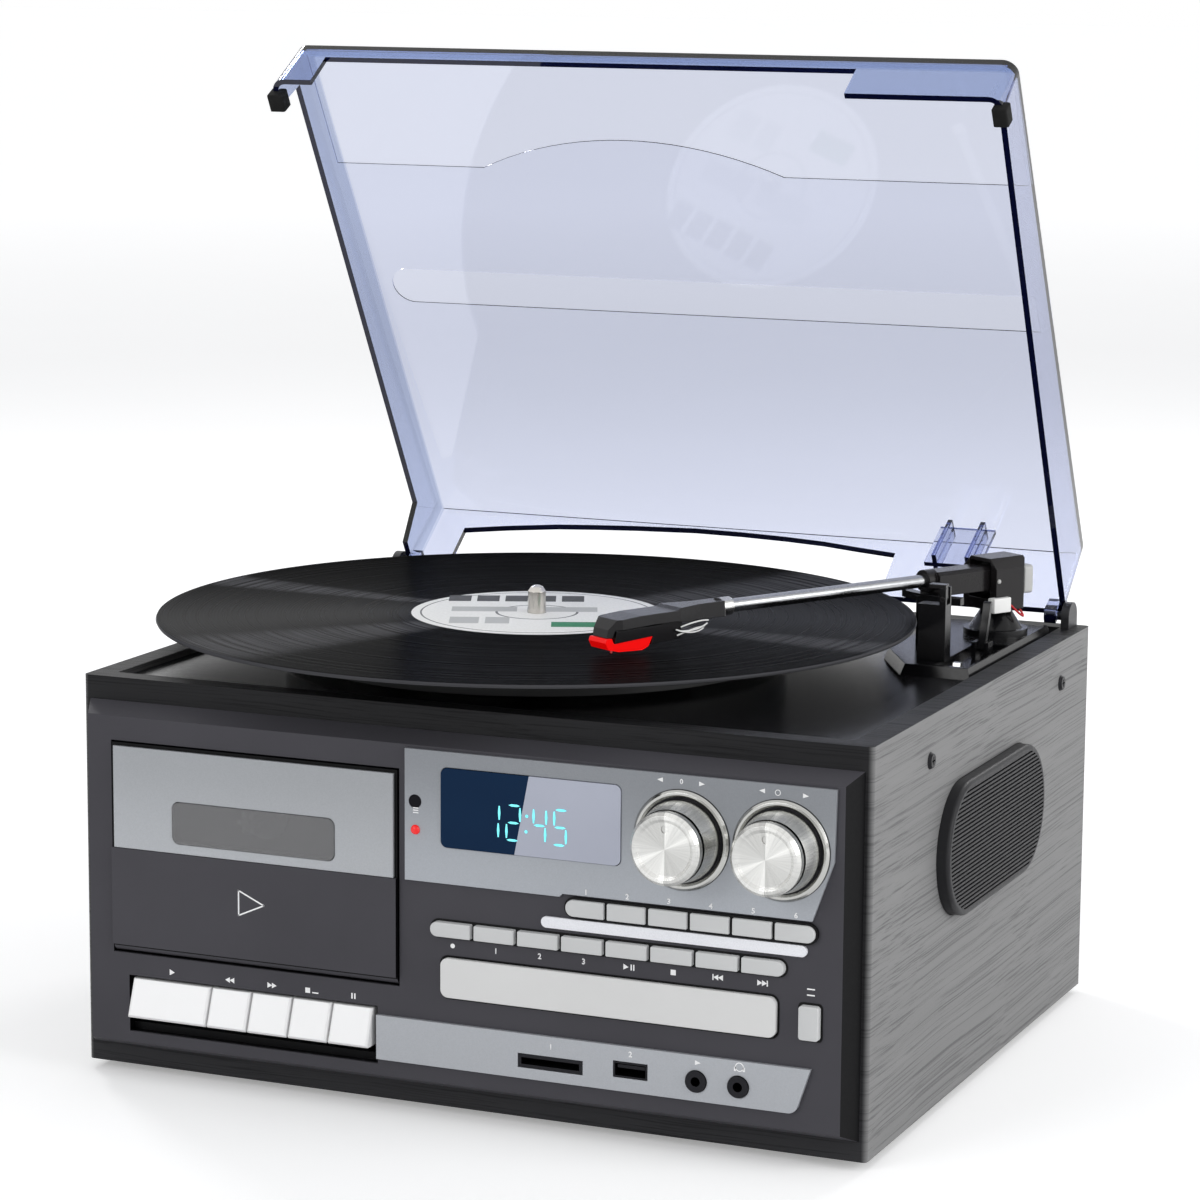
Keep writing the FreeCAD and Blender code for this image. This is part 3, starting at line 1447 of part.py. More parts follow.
def deck_switch():
    """The small metal slide switch in the channel."""
    z = plinth_z - base_channel_depth
    half = switch_length / 2
    outline = [Vector(switch_x - switch_width / 2, switch_y - half, z + fit_gap / 2),
               Vector(switch_x - switch_width / 2, switch_y + half, z + fit_gap / 2),
               Vector(switch_x - switch_width / 2, switch_y + half / 2, z + switch_height),
               Vector(switch_x - switch_width / 2, switch_y - half / 2, z + switch_height)]
    return face_of(outline).extrude(Vector(switch_width, 0, 0))


def lid_block(inset):
    """The outer or inner form of the closed cover: wider at the rim, higher at the back."""
    front = lid_front_half_width - inset
    rear = lid_rear_half_width - inset
    taper = lid_plate_taper
    rim_z = lid_rim_z - (overrun if inset else 0)
    lower = [Vector(-front, lid_front_y + inset, rim_z), Vector(front, lid_front_y + inset, rim_z),
             Vector(rear, lid_rear_y - inset, rim_z), Vector(-rear, lid_rear_y - inset, rim_z)]
    front_z = lid_rim_z + lid_front_height - inset
    rear_z = lid_rim_z + lid_rear_height - inset
    upper = [Vector(-front + taper, lid_plate_front_y + inset, front_z),
             Vector(front - taper, lid_plate_front_y + inset, front_z),
             Vector(rear - taper, lid_plate_rear_y - inset, rear_z),
             Vector(-rear + taper, lid_plate_rear_y - inset, rear_z)]
    wires = [Part.makePolygon(points + points[:1]) for points in (lower, upper)]
    solid = Part.makeLoft(wires, True, True)
    corners = [edge for edge in solid.Edges if edge.BoundBox.ZMin < lid_rim_z + overrun
               and edge.BoundBox.ZMax > lid_rim_z + lid_front_height / 2]
    return solid.makeFillet(lid_corner_radius - inset, corners)


def arch_tool():
    """The shallow arch cut in the rear wall for the record's edge."""
    z = lid_rim_z + lid_arch_height
    side_z = z - lid_arch_sag
    left = record_x - lid_arch_left
    right = record_x + lid_arch_right
    middle = (left + right) / 2
    y = lid_plate_rear_y - 2 * lid_wall
    depth = lid_rear_y - y + overrun
    low = lid_rim_z - overrun
    edges = [
        Part.LineSegment(Vector(left, y, low), Vector(right, y, low)).toShape(),
        Part.LineSegment(Vector(right, y, low), Vector(right, y, side_z)).toShape(),
        Part.Arc(Vector(right, y, side_z), Vector(middle, y, z), Vector(left, y, side_z)).toShape(),
        Part.LineSegment(Vector(left, y, side_z), Vector(left, y, low)).toShape(),
    ]
    return Part.Face(Part.Wire(edges)).extrude(Vector(0, depth, 0))


def plate_recess(edges):
    """A shallow recess in the cover's top plate. Its outline is drawn flat, from the plate's front edge."""
    outline = Part.Face(Part.Wire(Part.__sortEdges__(edges)))
    tool = outline.extrude(Vector(0, 0, lid_recess_depth + overrun))
    tool.translate(Vector(0, 0, -lid_recess_depth))
    slope = math.atan2(lid_rear_height - lid_front_height, lid_plate_rear_y - lid_plate_front_y)
    tool.rotate(Vector(0, 0, 0), Vector(1, 0, 0), math.degrees(slope))
    tool.translate(Vector(0, lid_plate_front_y, lid_rim_z + lid_front_height))
    return tool


def stripe_recess():
    """The wide stripe across the plate, with its half round left end."""
    near = lid_stripe_start
    far = near + lid_stripe_width
    middle = (near + far) / 2
    left = -lid_front_half_width + lid_stripe_inset
    start = left + lid_stripe_width / 2
    right = lid_rear_half_width - lid_plate_taper - lid_recess_margin
    return plate_recess([
        Part.LineSegment(Vector(start, near, 0), Vector(right, near, 0)).toShape(),
        Part.LineSegment(Vector(right, near, 0), Vector(right, far, 0)).toShape(),
        Part.LineSegment(Vector(right, far, 0), Vector(start, far, 0)).toShape(),
        Part.Arc(Vector(start, far, 0), Vector(left, middle, 0), Vector(start, near, 0)).toShape(),
    ])


def step_recess():
    """The front part of the plate is a step lower, behind a line with a shallow arch in its middle."""
    side = lid_front_half_width - lid_plate_taper - lid_recess_margin
    near = lid_recess_margin
    far = lid_step_start
    left = record_x - lid_step_rise_left
    right = record_x + lid_step_rise_right
    middle = (left + right) / 2
    return plate_recess([
        Part.LineSegment(Vector(-side, near, 0), Vector(side, near, 0)).toShape(),
        Part.LineSegment(Vector(side, near, 0), Vector(side, far, 0)).toShape(),
        Part.LineSegment(Vector(side, far, 0), Vector(right, far, 0)).toShape(),
        Part.Arc(Vector(right, far, 0), Vector(middle, far - lid_step_rise, 0),
                 Vector(left, far, 0)).toShape(),
        Part.LineSegment(Vector(left, far, 0), Vector(-side, far, 0)).toShape(),
        Part.LineSegment(Vector(-side, far, 0), Vector(-side, near, 0)).toShape(),
    ])


def closed_cover():
    body = cut(lid_block(0), lid_block(lid_wall))
    deep = 3 * lid_wall
    front_cut_left = -lid_front_half_width + lid_front_cut_inset
    front_cut = box(front_cut_left, front_cut_left + lid_front_cut_width, lid_plate_front_y - overrun,
                    lid_front_y + deep, lid_rim_z - overrun, lid_rim_z + lid_front_cut_height)
    side_cut_front = lid_front_y + lid_side_cut_start
    side_cut = box(-lid_front_half_width - overrun, -lid_rear_half_width + deep, side_cut_front,
                   side_cut_front + lid_side_cut_length, lid_rim_z - overrun,
                   lid_rim_z + lid_side_cut_height)
    body = cut(body, front_cut, side_cut, arch_tool(), stripe_recess(), step_recess())
    inner = lid_rear_half_width - lid_wall
    ears = []
    for side in (-1, 1):
        start = side * inner if side < 0 else inner - lid_ear_length
        ear = rod(lid_ear_radius, lid_ear_length, (start, lid_hinge_y, lid_hinge_z), (1, 0, 0))
        neck = box(start, start + lid_ear_length, lid_hinge_y - lid_ear_neck, lid_hinge_y + lid_ear_neck,
                   lid_hinge_z, lid_rim_z + lid_wall)
        keep = box(start, start + lid_ear_length, lid_hinge_y - 2 * lid_ear_radius,
                   lid_rear_y - lid_wall / 2, lid_hinge_z - lid_ear_radius, lid_rim_z + 2 * lid_wall)
        wing = fused(ear, neck).common(keep)
        link = box(start, start + lid_ear_length + lid_wall, lid_hinge_y - lid_ear_neck,
                   lid_rear_y - lid_wall / 2, lid_rim_z, lid_rim_z + lid_wall)
        if side < 0:
            link.translate(Vector(-lid_wall, 0, 0))
        ears += [wing, link]
    bores = [rod(lid_pin_radius + shaft_clearance, 2 * (lid_ear_length + lid_wall),
                 (side * inner - lid_ear_length - lid_wall, lid_hinge_y, lid_hinge_z), (1, 0, 0))
             for side in (-1, 1)]
    return cut(fused(body, *ears, *lid_tab()), *bores)


def plate_inner_z(y):
    """Height of the inner face of the plate at y."""
    share = (y - lid_plate_front_y) / (lid_plate_rear_y - lid_plate_front_y)
    return lid_rim_z + lid_front_height + share * (lid_rear_height - lid_front_height) - lid_wall


def lid_tab():
    """The small ribbed tab under the plate behind the tonearm."""
    y = lid_rear_y - lid_tab_rear_inset
    top = plate_inner_z(y) + lid_wall / 2
    left = lid_rear_half_width - lid_tab_inset - lid_tab_width / 2
    wall = box(left, left + lid_tab_width, y - lid_tab_rib / 2, y + lid_tab_rib / 2, top - lid_tab_drop, top)
    ribs = []
    for share in lid_tab_rib_shares:
        x = left + share * lid_tab_width
        ribs.append(box(x - lid_tab_rib / 2, x + lid_tab_rib / 2, y - lid_tab_length / 2,
                        y + lid_tab_length / 2, top - lid_tab_drop, top - fit_gap))
    return [wall] + ribs


def dust_cover():
    return turned_about_x(closed_cover(), lid_hinge_y, lid_hinge_z, lid_open_angle)


def lid_bumpers():
    """Rubber bumpers in the two front corners of the cover, down to the cabinet when it is closed."""
    bumpers = []
    for side in (-1, 1):
        x = side * (lid_front_half_width - lid_wall - bumper_inset)
        y = lid_front_y + lid_wall + bumper_inset
        top = plate_inner_z(y) - 2 * fit_gap
        bumpers.append(rod(bumper_radius, top - cabinet_top - fit_gap, (x, y, cabinet_top + fit_gap),
                           (0, 0, 1)))
    return turned_about_x(group(bumpers), lid_hinge_y, lid_hinge_z, lid_open_angle)


def hinge_brackets():
    """The two hinge brackets on the rear corners, each with its pin."""
    brackets = []
    inner = lid_rear_half_width + 2 * fit_gap
    radius = bracket_length / 2
    cheek = box(inner, inner + bracket_thickness, lid_hinge_y - radius, lid_hinge_y + radius, cabinet_top,
                lid_hinge_z)
    crown = rod(radius, bracket_thickness, (inner, lid_hinge_y, lid_hinge_z), (1, 0, 0))
    pin_length = lid_ear_length + lid_wall + 2 * fit_gap
    pin = rod(lid_pin_radius, pin_length + overrun, (inner - pin_length, lid_hinge_y, lid_hinge_z),
              (1, 0, 0))
    below = box(inner - overrun, inner + bracket_thickness + overrun, lid_hinge_y - bracket_length,
                lid_hinge_y + bracket_length, cabinet_top - bracket_length, cabinet_top)
    bracket = cut(fused(cheek, crown, pin), below)
    return group([bracket, mirrored(bracket)])


def check(name, shape):
    """Stops the build at a piece that isn't closed and valid."""
    if not shape.Solids:
        raise ValueError(name + " has no solid")
    for solid in shape.Solids:
        if not solid.isValid() or not solid.isClosed():
            raise ValueError(name + " has a solid that isn't closed and valid")


def pieces():
    """Every sub-part by its name."""
    parts = {
        "cabinet_box": cabinet_box(),
        "base_board": base_board(),
        "rubber_feet": rubber_feet(),
        "side_screws": side_screws(),
        "rear_panel": rear_panel(),
        "speaker_grilles": both_sides(speaker_grille()),
        "speaker_drivers": both_sides(speaker_driver()),
        "front_bezel": front_bezel(),
        "display_facia": display_facia(),
        "front_lenses": front_lenses(),
        "facia_trim": facia_trim(),
        "tuning_knob": knob(tuning_x),
        "volume_knob": knob(volume_x),
        "cassette_door": cassette_door(),
        "door_panel": door_panel(),
        "cassette_window": cassette_window(),
        "cassette_well": cassette_well(),
        "reel_hub_left": reel_hub(hub_left_x),
        "reel_hub_right": reel_hub(hub_left_x + hub_spacing),
        "disc_tray": disc_tray(),
        "lower_strip": lower_strip(),
        "sockets": sockets(),
        "deck_plate": deck_plate(),
        "platter": platter(),
        "vinyl_record": vinyl_record(),
        "motor_pulley": motor_pulley(),
        "arm_base": arm_base(),
        "arm_housing": arm_housing(),
        "arm_collar": arm_collar(),
        "arm_tube": arm_tube(),
        "headshell": headshell(),
        "stylus_holder": stylus_holder(),
        "arm_rest": arm_rest(),
        "arm_clip": arm_clip(),
        "arm_lifter": arm_lifter(),
        "cue_lever": cue_lever(),
        "deck_switch": deck_switch(),
        "dust_cover": dust_cover(),
        "lid_bumpers": lid_bumpers(),
        "hinge_brackets": hinge_brackets(),
    }
    for name in button_places():
        parts[name] = push_button(name)
    for index in range(len(key_left_edges)):
        parts[f"cassette_key_{index + 1}"] = cassette_key(index)
    return parts


os.makedirs("parts", exist_ok=True)
for node, shape in pieces().items():
    check(node, shape)
    shape.exportStep(f"parts/{node}.step")
    bounds = shape.BoundBox
    print(f"{node}: {bounds.XLength:.1f} x {bounds.YLength:.1f} x {bounds.ZLength:.1f} mm")
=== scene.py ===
# %% [markdown]
# # Dressing a compact record player
#
# The player comes in as a imported model: a wooden cabinet, a moulded front, a deck with a tonearm and a
# clear cover, each in its right place. This lesson gives every piece its real finish and adds what is too
# fine for the construction model, such as grooves, printed signs and wires. The frame is loaded first and
# is never moved.

import bpy
import math

from mathutils import Matrix, Vector


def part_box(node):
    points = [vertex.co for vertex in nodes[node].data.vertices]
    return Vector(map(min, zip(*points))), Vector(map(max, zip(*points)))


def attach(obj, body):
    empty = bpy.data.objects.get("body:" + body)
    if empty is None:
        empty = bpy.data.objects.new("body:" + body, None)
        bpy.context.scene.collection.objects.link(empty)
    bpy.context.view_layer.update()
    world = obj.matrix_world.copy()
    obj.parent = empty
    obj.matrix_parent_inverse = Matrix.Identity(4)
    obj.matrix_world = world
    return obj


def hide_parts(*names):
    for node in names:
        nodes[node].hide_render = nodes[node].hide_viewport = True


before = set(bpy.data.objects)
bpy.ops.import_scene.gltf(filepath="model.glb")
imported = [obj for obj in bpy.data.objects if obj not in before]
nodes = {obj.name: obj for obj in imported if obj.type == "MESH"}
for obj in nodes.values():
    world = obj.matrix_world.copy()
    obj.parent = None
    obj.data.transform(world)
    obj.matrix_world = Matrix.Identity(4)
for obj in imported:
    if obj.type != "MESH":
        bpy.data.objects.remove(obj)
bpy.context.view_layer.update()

# %% [markdown]
# ## The camera
#
# The photograph was taken from the right, a little above the deck, with a long lens. A camera can be
# placed by eye, or its three angles can be worked out from edges that are level or upright on the real
# cabinet. The second way is used here, because then every piece lands on its own pixels.

# %% Camera
MM = 0.001
CAMERA_PLACE = Vector((603.5, -1414.1, 440.3)) * MM
CAMERA_AZIMUTH = math.radians(23.20)
CAMERA_ELEVATION = math.radians(9.80)
CAMERA_ROLL = math.radians(0.40)
CAMERA_LENS = 117.92


def camera_turn(azimuth, elevation, roll):
    """The camera's own right, up and back directions, as a rotation."""
    back = Vector((math.sin(azimuth) * math.cos(elevation), -math.cos(azimuth) * math.cos(elevation),
                   math.sin(elevation)))
    right = Vector((math.cos(azimuth), math.sin(azimuth), 0))
    up = back.cross(right)
    rolled_right = right * math.cos(roll) + up * math.sin(roll)
    rolled_up = up * math.cos(roll) - right * math.sin(roll)
    return Matrix((rolled_right, rolled_up, back)).transposed()


bpy.ops.object.camera_add(location=CAMERA_PLACE)
camera = bpy.context.object
camera.name = "photo_camera"
camera.rotation_euler = camera_turn(CAMERA_AZIMUTH, CAMERA_ELEVATION, CAMERA_ROLL).to_euler()
camera.data.sensor_width = 36.0
camera.data.lens = CAMERA_LENS
camera.data.clip_end = 20.0
bpy.context.scene.camera = camera
bpy.context.scene.view_settings.view_transform = "Standard"
print("camera at", [round(v, 3) for v in camera.location])

# %% [markdown]
# ## Colours and nodes
#
# Colours are written as the hex values that a paint card or a picture editor gives. Blender wants linear
# light, so one function turns them. One more small function adds a node with its settings and links, and
# all materials below are built from it. Where it is given a node as an input, it links that node's first
# output, so a chain of nodes reads like a sum.

# %% Helpers for materials
# A noise mostly lies between these two values, so a Map Range node starts from them.
NOISE_SPAN = {"_1": 0.3, "_2": 0.7}


def linear(hex_colour):
    """A hex colour as linear red, green, blue and full alpha."""
    channels = [int(hex_colour[i:i + 2], 16) / 255 for i in (0, 2, 4)]
    return tuple(c / 12.92 if c <= 0.04045 else ((c + 0.055) / 1.055) ** 2.4 for c in channels) + (1.0,)


def fill(node, **inputs):
    """Fills a node's inputs, each with a value, an output, or another node's first output in use."""
    for name, value in inputs.items():
        socket = node.inputs[int(name[1:])] if name[1:].isdigit() else node.inputs[name.replace("_", " ")]
        if isinstance(value, bpy.types.Node):
            value = next(output for output in value.outputs if output.enabled)
        if isinstance(value, bpy.types.NodeSocket):
            node.id_data.links.new(value, socket)
        else:
            socket.default_value = value


def add(tree, kind, settings=None, **inputs):
    """Adds a node. Settings are its own properties, or one word for its operation."""
    node = tree.nodes.new("ShaderNode" + kind)
    if isinstance(settings, str):
        settings = {"operation": settings}
    for name, value in (settings or {}).items():
        setattr(node, name, value)
    fill(node, **inputs)
    return node


def new_finish(name):
    """An empty material with its tree and a Principled shader joined to the output."""
    material = bpy.data.materials.new(name)
    material.use_nodes = True
    tree = material.node_tree
    tree.nodes.clear()
    shader = add(tree, "BsdfPrincipled")
    add(tree, "OutputMaterial", Surface=shader)
    return material, tree, shader


def opened(material):
    """A material's tree and its Principled shader, to be worked on further."""
    tree = material.node_tree
    return tree, next(n for n in tree.nodes if n.type == "BSDF_PRINCIPLED")


def recolour(material, where, hex_colour):
    """Lays another colour over the one that the material has, where a mask is 1."""
    tree, shader = opened(material)
    base = shader.inputs["Base Color"]
    surface = base.links[0].from_socket if base.links else tuple(base.default_value)
    fill(shader, Base_Color=add(tree, "Mix", {"data_type": "RGBA"}, Factor=where, A=surface,
                                B=linear(hex_colour)))


def wear(material, *names):
    """Gives CAD nodes this finish."""
    for name in names:
        mesh = nodes[name].data
        mesh.materials.clear()
        mesh.materials.append(material)
    print(material.name, "on", ", ".join(names))


# %% [markdown]
# ## Moulded plastic
#
# Most of the front is moulded plastic: ABS, which leaves the mould with a fine spark-eroded texture and
# edges that are never quite sharp. The texture could be modelled, but it is only a few hundredths of a
# millimetre deep, so it is a bump. It is drawn at 0.5 mm, coarser than the real 0.1 mm, because a finer
# one wouldn't show in the picture. Rounded edges come from the Bevel node, which bends the light at an
# edge as a small radius does. A broad, faint change of tone keeps large faces from looking painted by
# computer.

# %% A function for moulded plastics


def moulded(name, hex_colour, roughness, grain=0.5, depth=0.012, edge=0.3, tone=0.06, specular=0.5, ior=1.46):
    """Moulded plastic. Grain, depth and edge radius are in millimetres, tone is a share."""
    material, tree, shader = new_finish(name)
    place = add(tree, "TexCoord").outputs["Object"]
    broad = add(tree, "TexNoise", Vector=place, Scale=22.0, Detail=3.0)
    fine = add(tree, "TexNoise", Vector=place, Scale=1000.0 / grain / 3, Detail=2.0)
    shade = add(tree, "MapRange", Value=broad, **NOISE_SPAN, _3=1 - tone, _4=1 + tone)
    colour = add(tree, "VectorMath", "SCALE", _0=linear(hex_colour)[:3], Scale=shade)
    rough = add(tree, "MapRange", Value=fine, **NOISE_SPAN, _3=roughness * 0.92,
                _4=min(1.0, roughness * 1.08))
    rounded = add(tree, "Bevel", {"samples": 4}, Radius=edge * MM)
    bump = add(tree, "Bump", Strength=0.6, Distance=depth * MM, Height=fine, Normal=rounded)
    fill(shader, Base_Color=colour, Roughness=rough, Normal=bump, IOR=ior, Specular_IOR_Level=specular)
    return material


def paint_shade_in_recesses(material, node):
    """Painted shade: what lies over 0.9 mm behind a node's front face, and its right flanks, turn near black.
    """
    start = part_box(node)[0].y + 0.9 * MM
    tree = material.node_tree
    coordinates = add(tree, "TexCoord")
    place = add(tree, "SeparateXYZ", Vector=coordinates.outputs["Object"])
    facing = add(tree, "SeparateXYZ", Vector=coordinates.outputs["Normal"])
    deep = add(tree, "MapRange", Value=place.outputs["Y"], _1=start, _2=start + 0.5 * MM)
    frontal = add(tree, "Math", "ABSOLUTE", _0=facing.outputs["Y"])
    slanted = add(tree, "Math", "COMPARE", _0=frontal, _1=0.6, _2=0.36)
    straight = add(tree, "Math", "SUBTRACT", _0=1.0, _1=slanted)
    recess = add(tree, "Math", "MULTIPLY", _0=deep, _1=straight)
    flank = add(tree, "Math", "GREATER_THAN", _0=facing.outputs["X"], _1=0.3)
    recolour(material, add(tree, "Math", "MAXIMUM", _0=recess, _1=flank), "060608")
    return material


# %% Plastics of the front, the deck and the rear
# ABS, dark grey, spark textured: the large front bezel. It looks matt with a soft sheen at low angles.
# Its openings go back into a closed housing; their walls and the right flanks are painted near black as
# painted shade. The cassette door is the same plastic from another mould, a touch lighter.
for part, node, hex_colour in (("bezel", "front_bezel", "48474c"), ("door", "cassette_door", "49484d")):
    wear(paint_shade_in_recesses(moulded("textured_abs_" + part, hex_colour, 0.5, specular=0.15), node), node)
# Polystyrene, fine black texture: deck, plinth, arm rest and lever. It takes a grey bloom from the light.
wear(moulded("black_styrene_deck", "18181a", 0.22, grain=0.7, specular=0.5), "deck_plate")
wear(moulded("black_styrene_parts", "0d0d0f", 0.2, grain=0.6, specular=0.3),
     "arm_base", "arm_rest", "arm_lifter", "cue_lever")
# ABS, dark warm grey and satin: the pivot block, the tube's collar and the headshell.
wear(moulded("satin_abs_tonearm", "1a1819", 0.2, grain=0.5, edge=0.5, specular=0.3),
     "arm_housing", "arm_collar", "arm_clip")
wear(moulded("satin_abs_headshell", "19181a", 0.22, grain=0.5, edge=0.4, specular=0.3), "headshell")
# Black ABS behind the machine, inside the cassette well and on the hinges, never polished.
wear(moulded("black_abs_rear", "1c1c1e", 0.55, grain=0.8), "rear_panel", "cassette_well")
wear(moulded("black_abs_hinge", "252528", 0.4), "hinge_brackets")
# Light grey ABS for the buttons and the disc tray, matt as a fine blasted mould leaves it.
wear(moulded("light_abs_tray", "e2e2e1", 0.42, edge=0.5, tone=0.02), "disc_tray")
button_plastic = moulded("light_abs_buttons", "d2d3d3", 0.34, edge=0.3, tone=0.02)
wear(button_plastic, *[f"function_button_{i}" for i in range(1, 7)],
     *[f"playback_button_{i}" for i in range(1, 9)], "tray_button")
# White gloss ABS for the piano keys, from a polished mould, and plain white nylon for the reel hubs.
wear(moulded("white_gloss_abs", "fafafa", 0.2, grain=1.2, depth=0.004, edge=0.5, tone=0.01),
     *[f"cassette_key_{i}" for i in range(1, 6)])
wear(moulded("white_hub_nylon", "dcdbd6", 0.4, tone=0.02), "reel_hub_left", "reel_hub_right")
# Black styrene for the speaker grilles, matt so that the louvres read as dark lines.
wear(moulded("black_grille_styrene", "28282a", 0.45, grain=0.6, specular=0.2), "speaker_grilles")

# %% [markdown]
# ## Silver lacquer
#
# The facia, the lower strip and the upper door plate are sprayed with silver lacquer. Such paint is a
# clear binder with aluminium flakes about 0.03 mm across. The flakes could be modelled as a metal, but the
# binder scatters much of the light, so a part metallic shader with a faint sparkle is nearer. The sparkle
# is drawn at 0.4 mm so that it shows.

# %% Silver lacquer


def silver_lacquer(name, hex_colour, roughness, metallic, painted_shade_share=0.0, node="display_facia"):
    """Silver lacquer. Painted shade: by a share, it is drawn darker from a node's lower edge to its upper
    one.
    """
    material, tree, shader = new_finish(name)
    place = add(tree, "TexCoord").outputs["Object"]
    flakes = add(tree, "TexVoronoi", Vector=place, Scale=2500.0)
    broad = add(tree, "TexNoise", Vector=place, Scale=14.0, Detail=2.0)
    spark = add(tree, "MapRange", Value=flakes.outputs["Color"], _1=0.0, _2=1.0, _3=0.95, _4=1.05)
    drift = add(tree, "MapRange", Value=broad, **NOISE_SPAN, _3=0.98, _4=1.02)
    both = add(tree, "Math", "MULTIPLY", _0=spark, _1=drift)
    # Painted shade: a little lighter at the node's lower edge and darker towards its upper one.
    low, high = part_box(node)
    height = add(tree, "SeparateXYZ", Vector=place).outputs["Z"]
    darker = add(tree, "MapRange", {"interpolation_type": "SMOOTHSTEP"}, Value=height, _1=low.z, _2=high.z,
                 _3=1 + painted_shade_share / 4, _4=1 - painted_shade_share)
    shade = add(tree, "Math", "MULTIPLY", _0=both, _1=darker)
    colour = add(tree, "VectorMath", "SCALE", _0=linear(hex_colour)[:3], Scale=shade)
    rounded = add(tree, "Bevel", {"samples": 4}, Radius=0.25 * MM)
    fill(shader, Base_Color=colour, Normal=rounded, Roughness=roughness, Metallic=metallic, IOR=1.5)
    return material


wear(silver_lacquer("silver_lacquer_facia", "a4a8ae", 0.42, 0.25, 0.35), "display_facia")
wear(silver_lacquer("silver_lacquer_strip", "b0b3b8", 0.4, 0.25), "lower_strip")
wear(silver_lacquer("silver_lacquer_door", "adb0b4", 0.42, 0.2, 0.16, "door_panel"), "door_panel")

# The rings round the knobs are polished aluminium, and the bar under the buttons is pale paint. They are
# one node, so the metal starts above the height of the bar.
RINGS_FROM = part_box("cabinet_box")[0].z + 90 * MM
trim = silver_lacquer("polished_rings_and_pale_bar", "f6f7fc", 0.3, 0.0)
trim_tree, trim_shader = opened(trim)
trim_place = add(trim_tree, "SeparateXYZ", Vector=add(trim_tree, "TexCoord").outputs["Object"])
on_rings = add(trim_tree, "Math", "GREATER_THAN", _0=trim_place.outputs["Z"], _1=RINGS_FROM)
recolour(trim, on_rings, "b9b9b6")
fill(trim_shader, Metallic=on_rings, Roughness=add(trim_tree, "MapRange", Value=on_rings, _3=0.3, _4=0.14))
wear(trim, "facia_trim")

# %% [markdown]
# ## The wooden cabinet
#
# The cabinet is fibreboard wrapped in a printed foil that copies an open-pored black ash: long dark pores,
# 0.5 to 1 mm wide and a few centimetres long, over a grey ground. The sides are lit and read as mid grey,
# and the front frame is darker, so the side boards get a lighter copy of the foil as painted light and the
# front, top and back a darker one as painted shade. A photograph of wood could be pasted on, but a noise
# that is stretched along the grain gives pores that fit the boards at their real size. The grain runs level
# round the cabinet.

# %% Wood foil
# Cells of the noise for each metre: one is about 65 mm long along the grain and 0.7 mm wide across it.
ALONG_GRAIN = 15.0
ACROSS_GRAIN = 1500.0


def wood_foil(name, node, side_hex, side_pore_hex, front_hex, front_pore_hex):
    """Grey ash foil: a painted-light pair of colours on the sides, a darker painted-shade pair on front, top
    and back.
    """
    material, tree, shader = new_finish(name)
    coordinates = add(tree, "TexCoord")
    place = coordinates.outputs["Object"]
    facing = add(tree, "SeparateXYZ", Vector=coordinates.outputs["Normal"])
    sideways = add(tree, "Math", "ABSOLUTE", _0=facing.outputs["X"])
    upwards = add(tree, "Math", "ABSOLUTE", _0=facing.outputs["Z"])
    level = add(tree, "Mapping", Vector=place, Scale=(ALONG_GRAIN, ALONG_GRAIN, ACROSS_GRAIN))
    flat = add(tree, "Mapping", Vector=place, Scale=(ALONG_GRAIN, ACROSS_GRAIN, ALONG_GRAIN))
    grain_place = add(tree, "Mix", {"data_type": "VECTOR"}, Factor=upwards, A=level, B=flat)
    warp = add(tree, "TexNoise", Vector=place, Scale=9.0, Detail=2.0)
    bent = add(tree, "VectorMath", "MULTIPLY_ADD", _0=warp.outputs["Color"], _1=(0.0, 6.0, 6.0),
               _2=grain_place)
    pores = add(tree, "TexNoise", Vector=bent, Scale=1.0, Detail=6.0, Roughness=0.62)
    pore = add(tree, "MapRange", Value=pores, _1=0.36, _2=0.5, _3=0.0, _4=1.0)
    side, dark_front = [add(tree, "Mix", {"data_type": "RGBA"}, Factor=pore, A=linear(dark), B=linear(pale))
                        for dark, pale in ((side_pore_hex, side_hex), (front_pore_hex, front_hex))]
    # Painted light and shade on the front: its lowest 15 mm, over the pale floor, are drawn lighter,
    # and from 45 mm up it is drawn darkest.
    height = add(tree, "SeparateXYZ", Vector=place).outputs["Z"]
    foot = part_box(node)[0].z
    lift = add(tree, "MapRange", Value=height, _1=foot + 15 * MM, _2=foot + 45 * MM, _3=1.4, _4=0.75)
    front = add(tree, "VectorMath", "SCALE", _0=dark_front, Scale=lift)
    board = add(tree, "Mix", {"data_type": "RGBA"}, Factor=sideways, A=front, B=side)
    # Broad bands, 170 mm long and 6 mm wide, as the printed foil has them.
    streak = add(tree, "Mapping", Vector=place, Scale=(6.0, 6.0, 180.0))
    bands = add(tree, "TexNoise", Vector=streak, Scale=1.0, Detail=3.0)
    tone = add(tree, "MapRange", Value=bands, **NOISE_SPAN, _3=0.94, _4=1.05)
    colour = add(tree, "VectorMath", "SCALE", _0=board, Scale=tone)
    rounded = add(tree, "Bevel", {"samples": 4}, Radius=0.6 * MM)
    bump = add(tree, "Bump", Strength=0.5, Distance=0.06 * MM, Height=pore, Normal=rounded)
    rough = add(tree, "MapRange", Value=pore, _1=0.0, _2=1.0, _3=0.62, _4=0.46)
    fill(shader, Base_Color=colour, Roughness=rough, Normal=bump, IOR=1.5, Specular_IOR_Level=0.15)
    return material


wear(wood_foil("ash_foil_cabinet", "cabinet_box", "7c7c7c", "666667", "262628", "18181a"), "cabinet_box")
wear(wood_foil("painted_fibreboard_base", "base_board", "3a3836", "2c2a29", "353331", "262423"),
     "base_board")

# %% [markdown]
# ## Rubber, paper and small metal parts
#
# The feet and the cover's bumpers are black rubber, which scatters light evenly and never shines. The
# speaker cone is pressed black paper. The side screws are blackened steel, dark and slightly oily, the
# sockets have dark plated shells, the tube is polished aluminium, the pulley brass and the slide switch
# nickel plated. On metal the eye sees fine, uneven polish, so the roughness changes and not the colour.

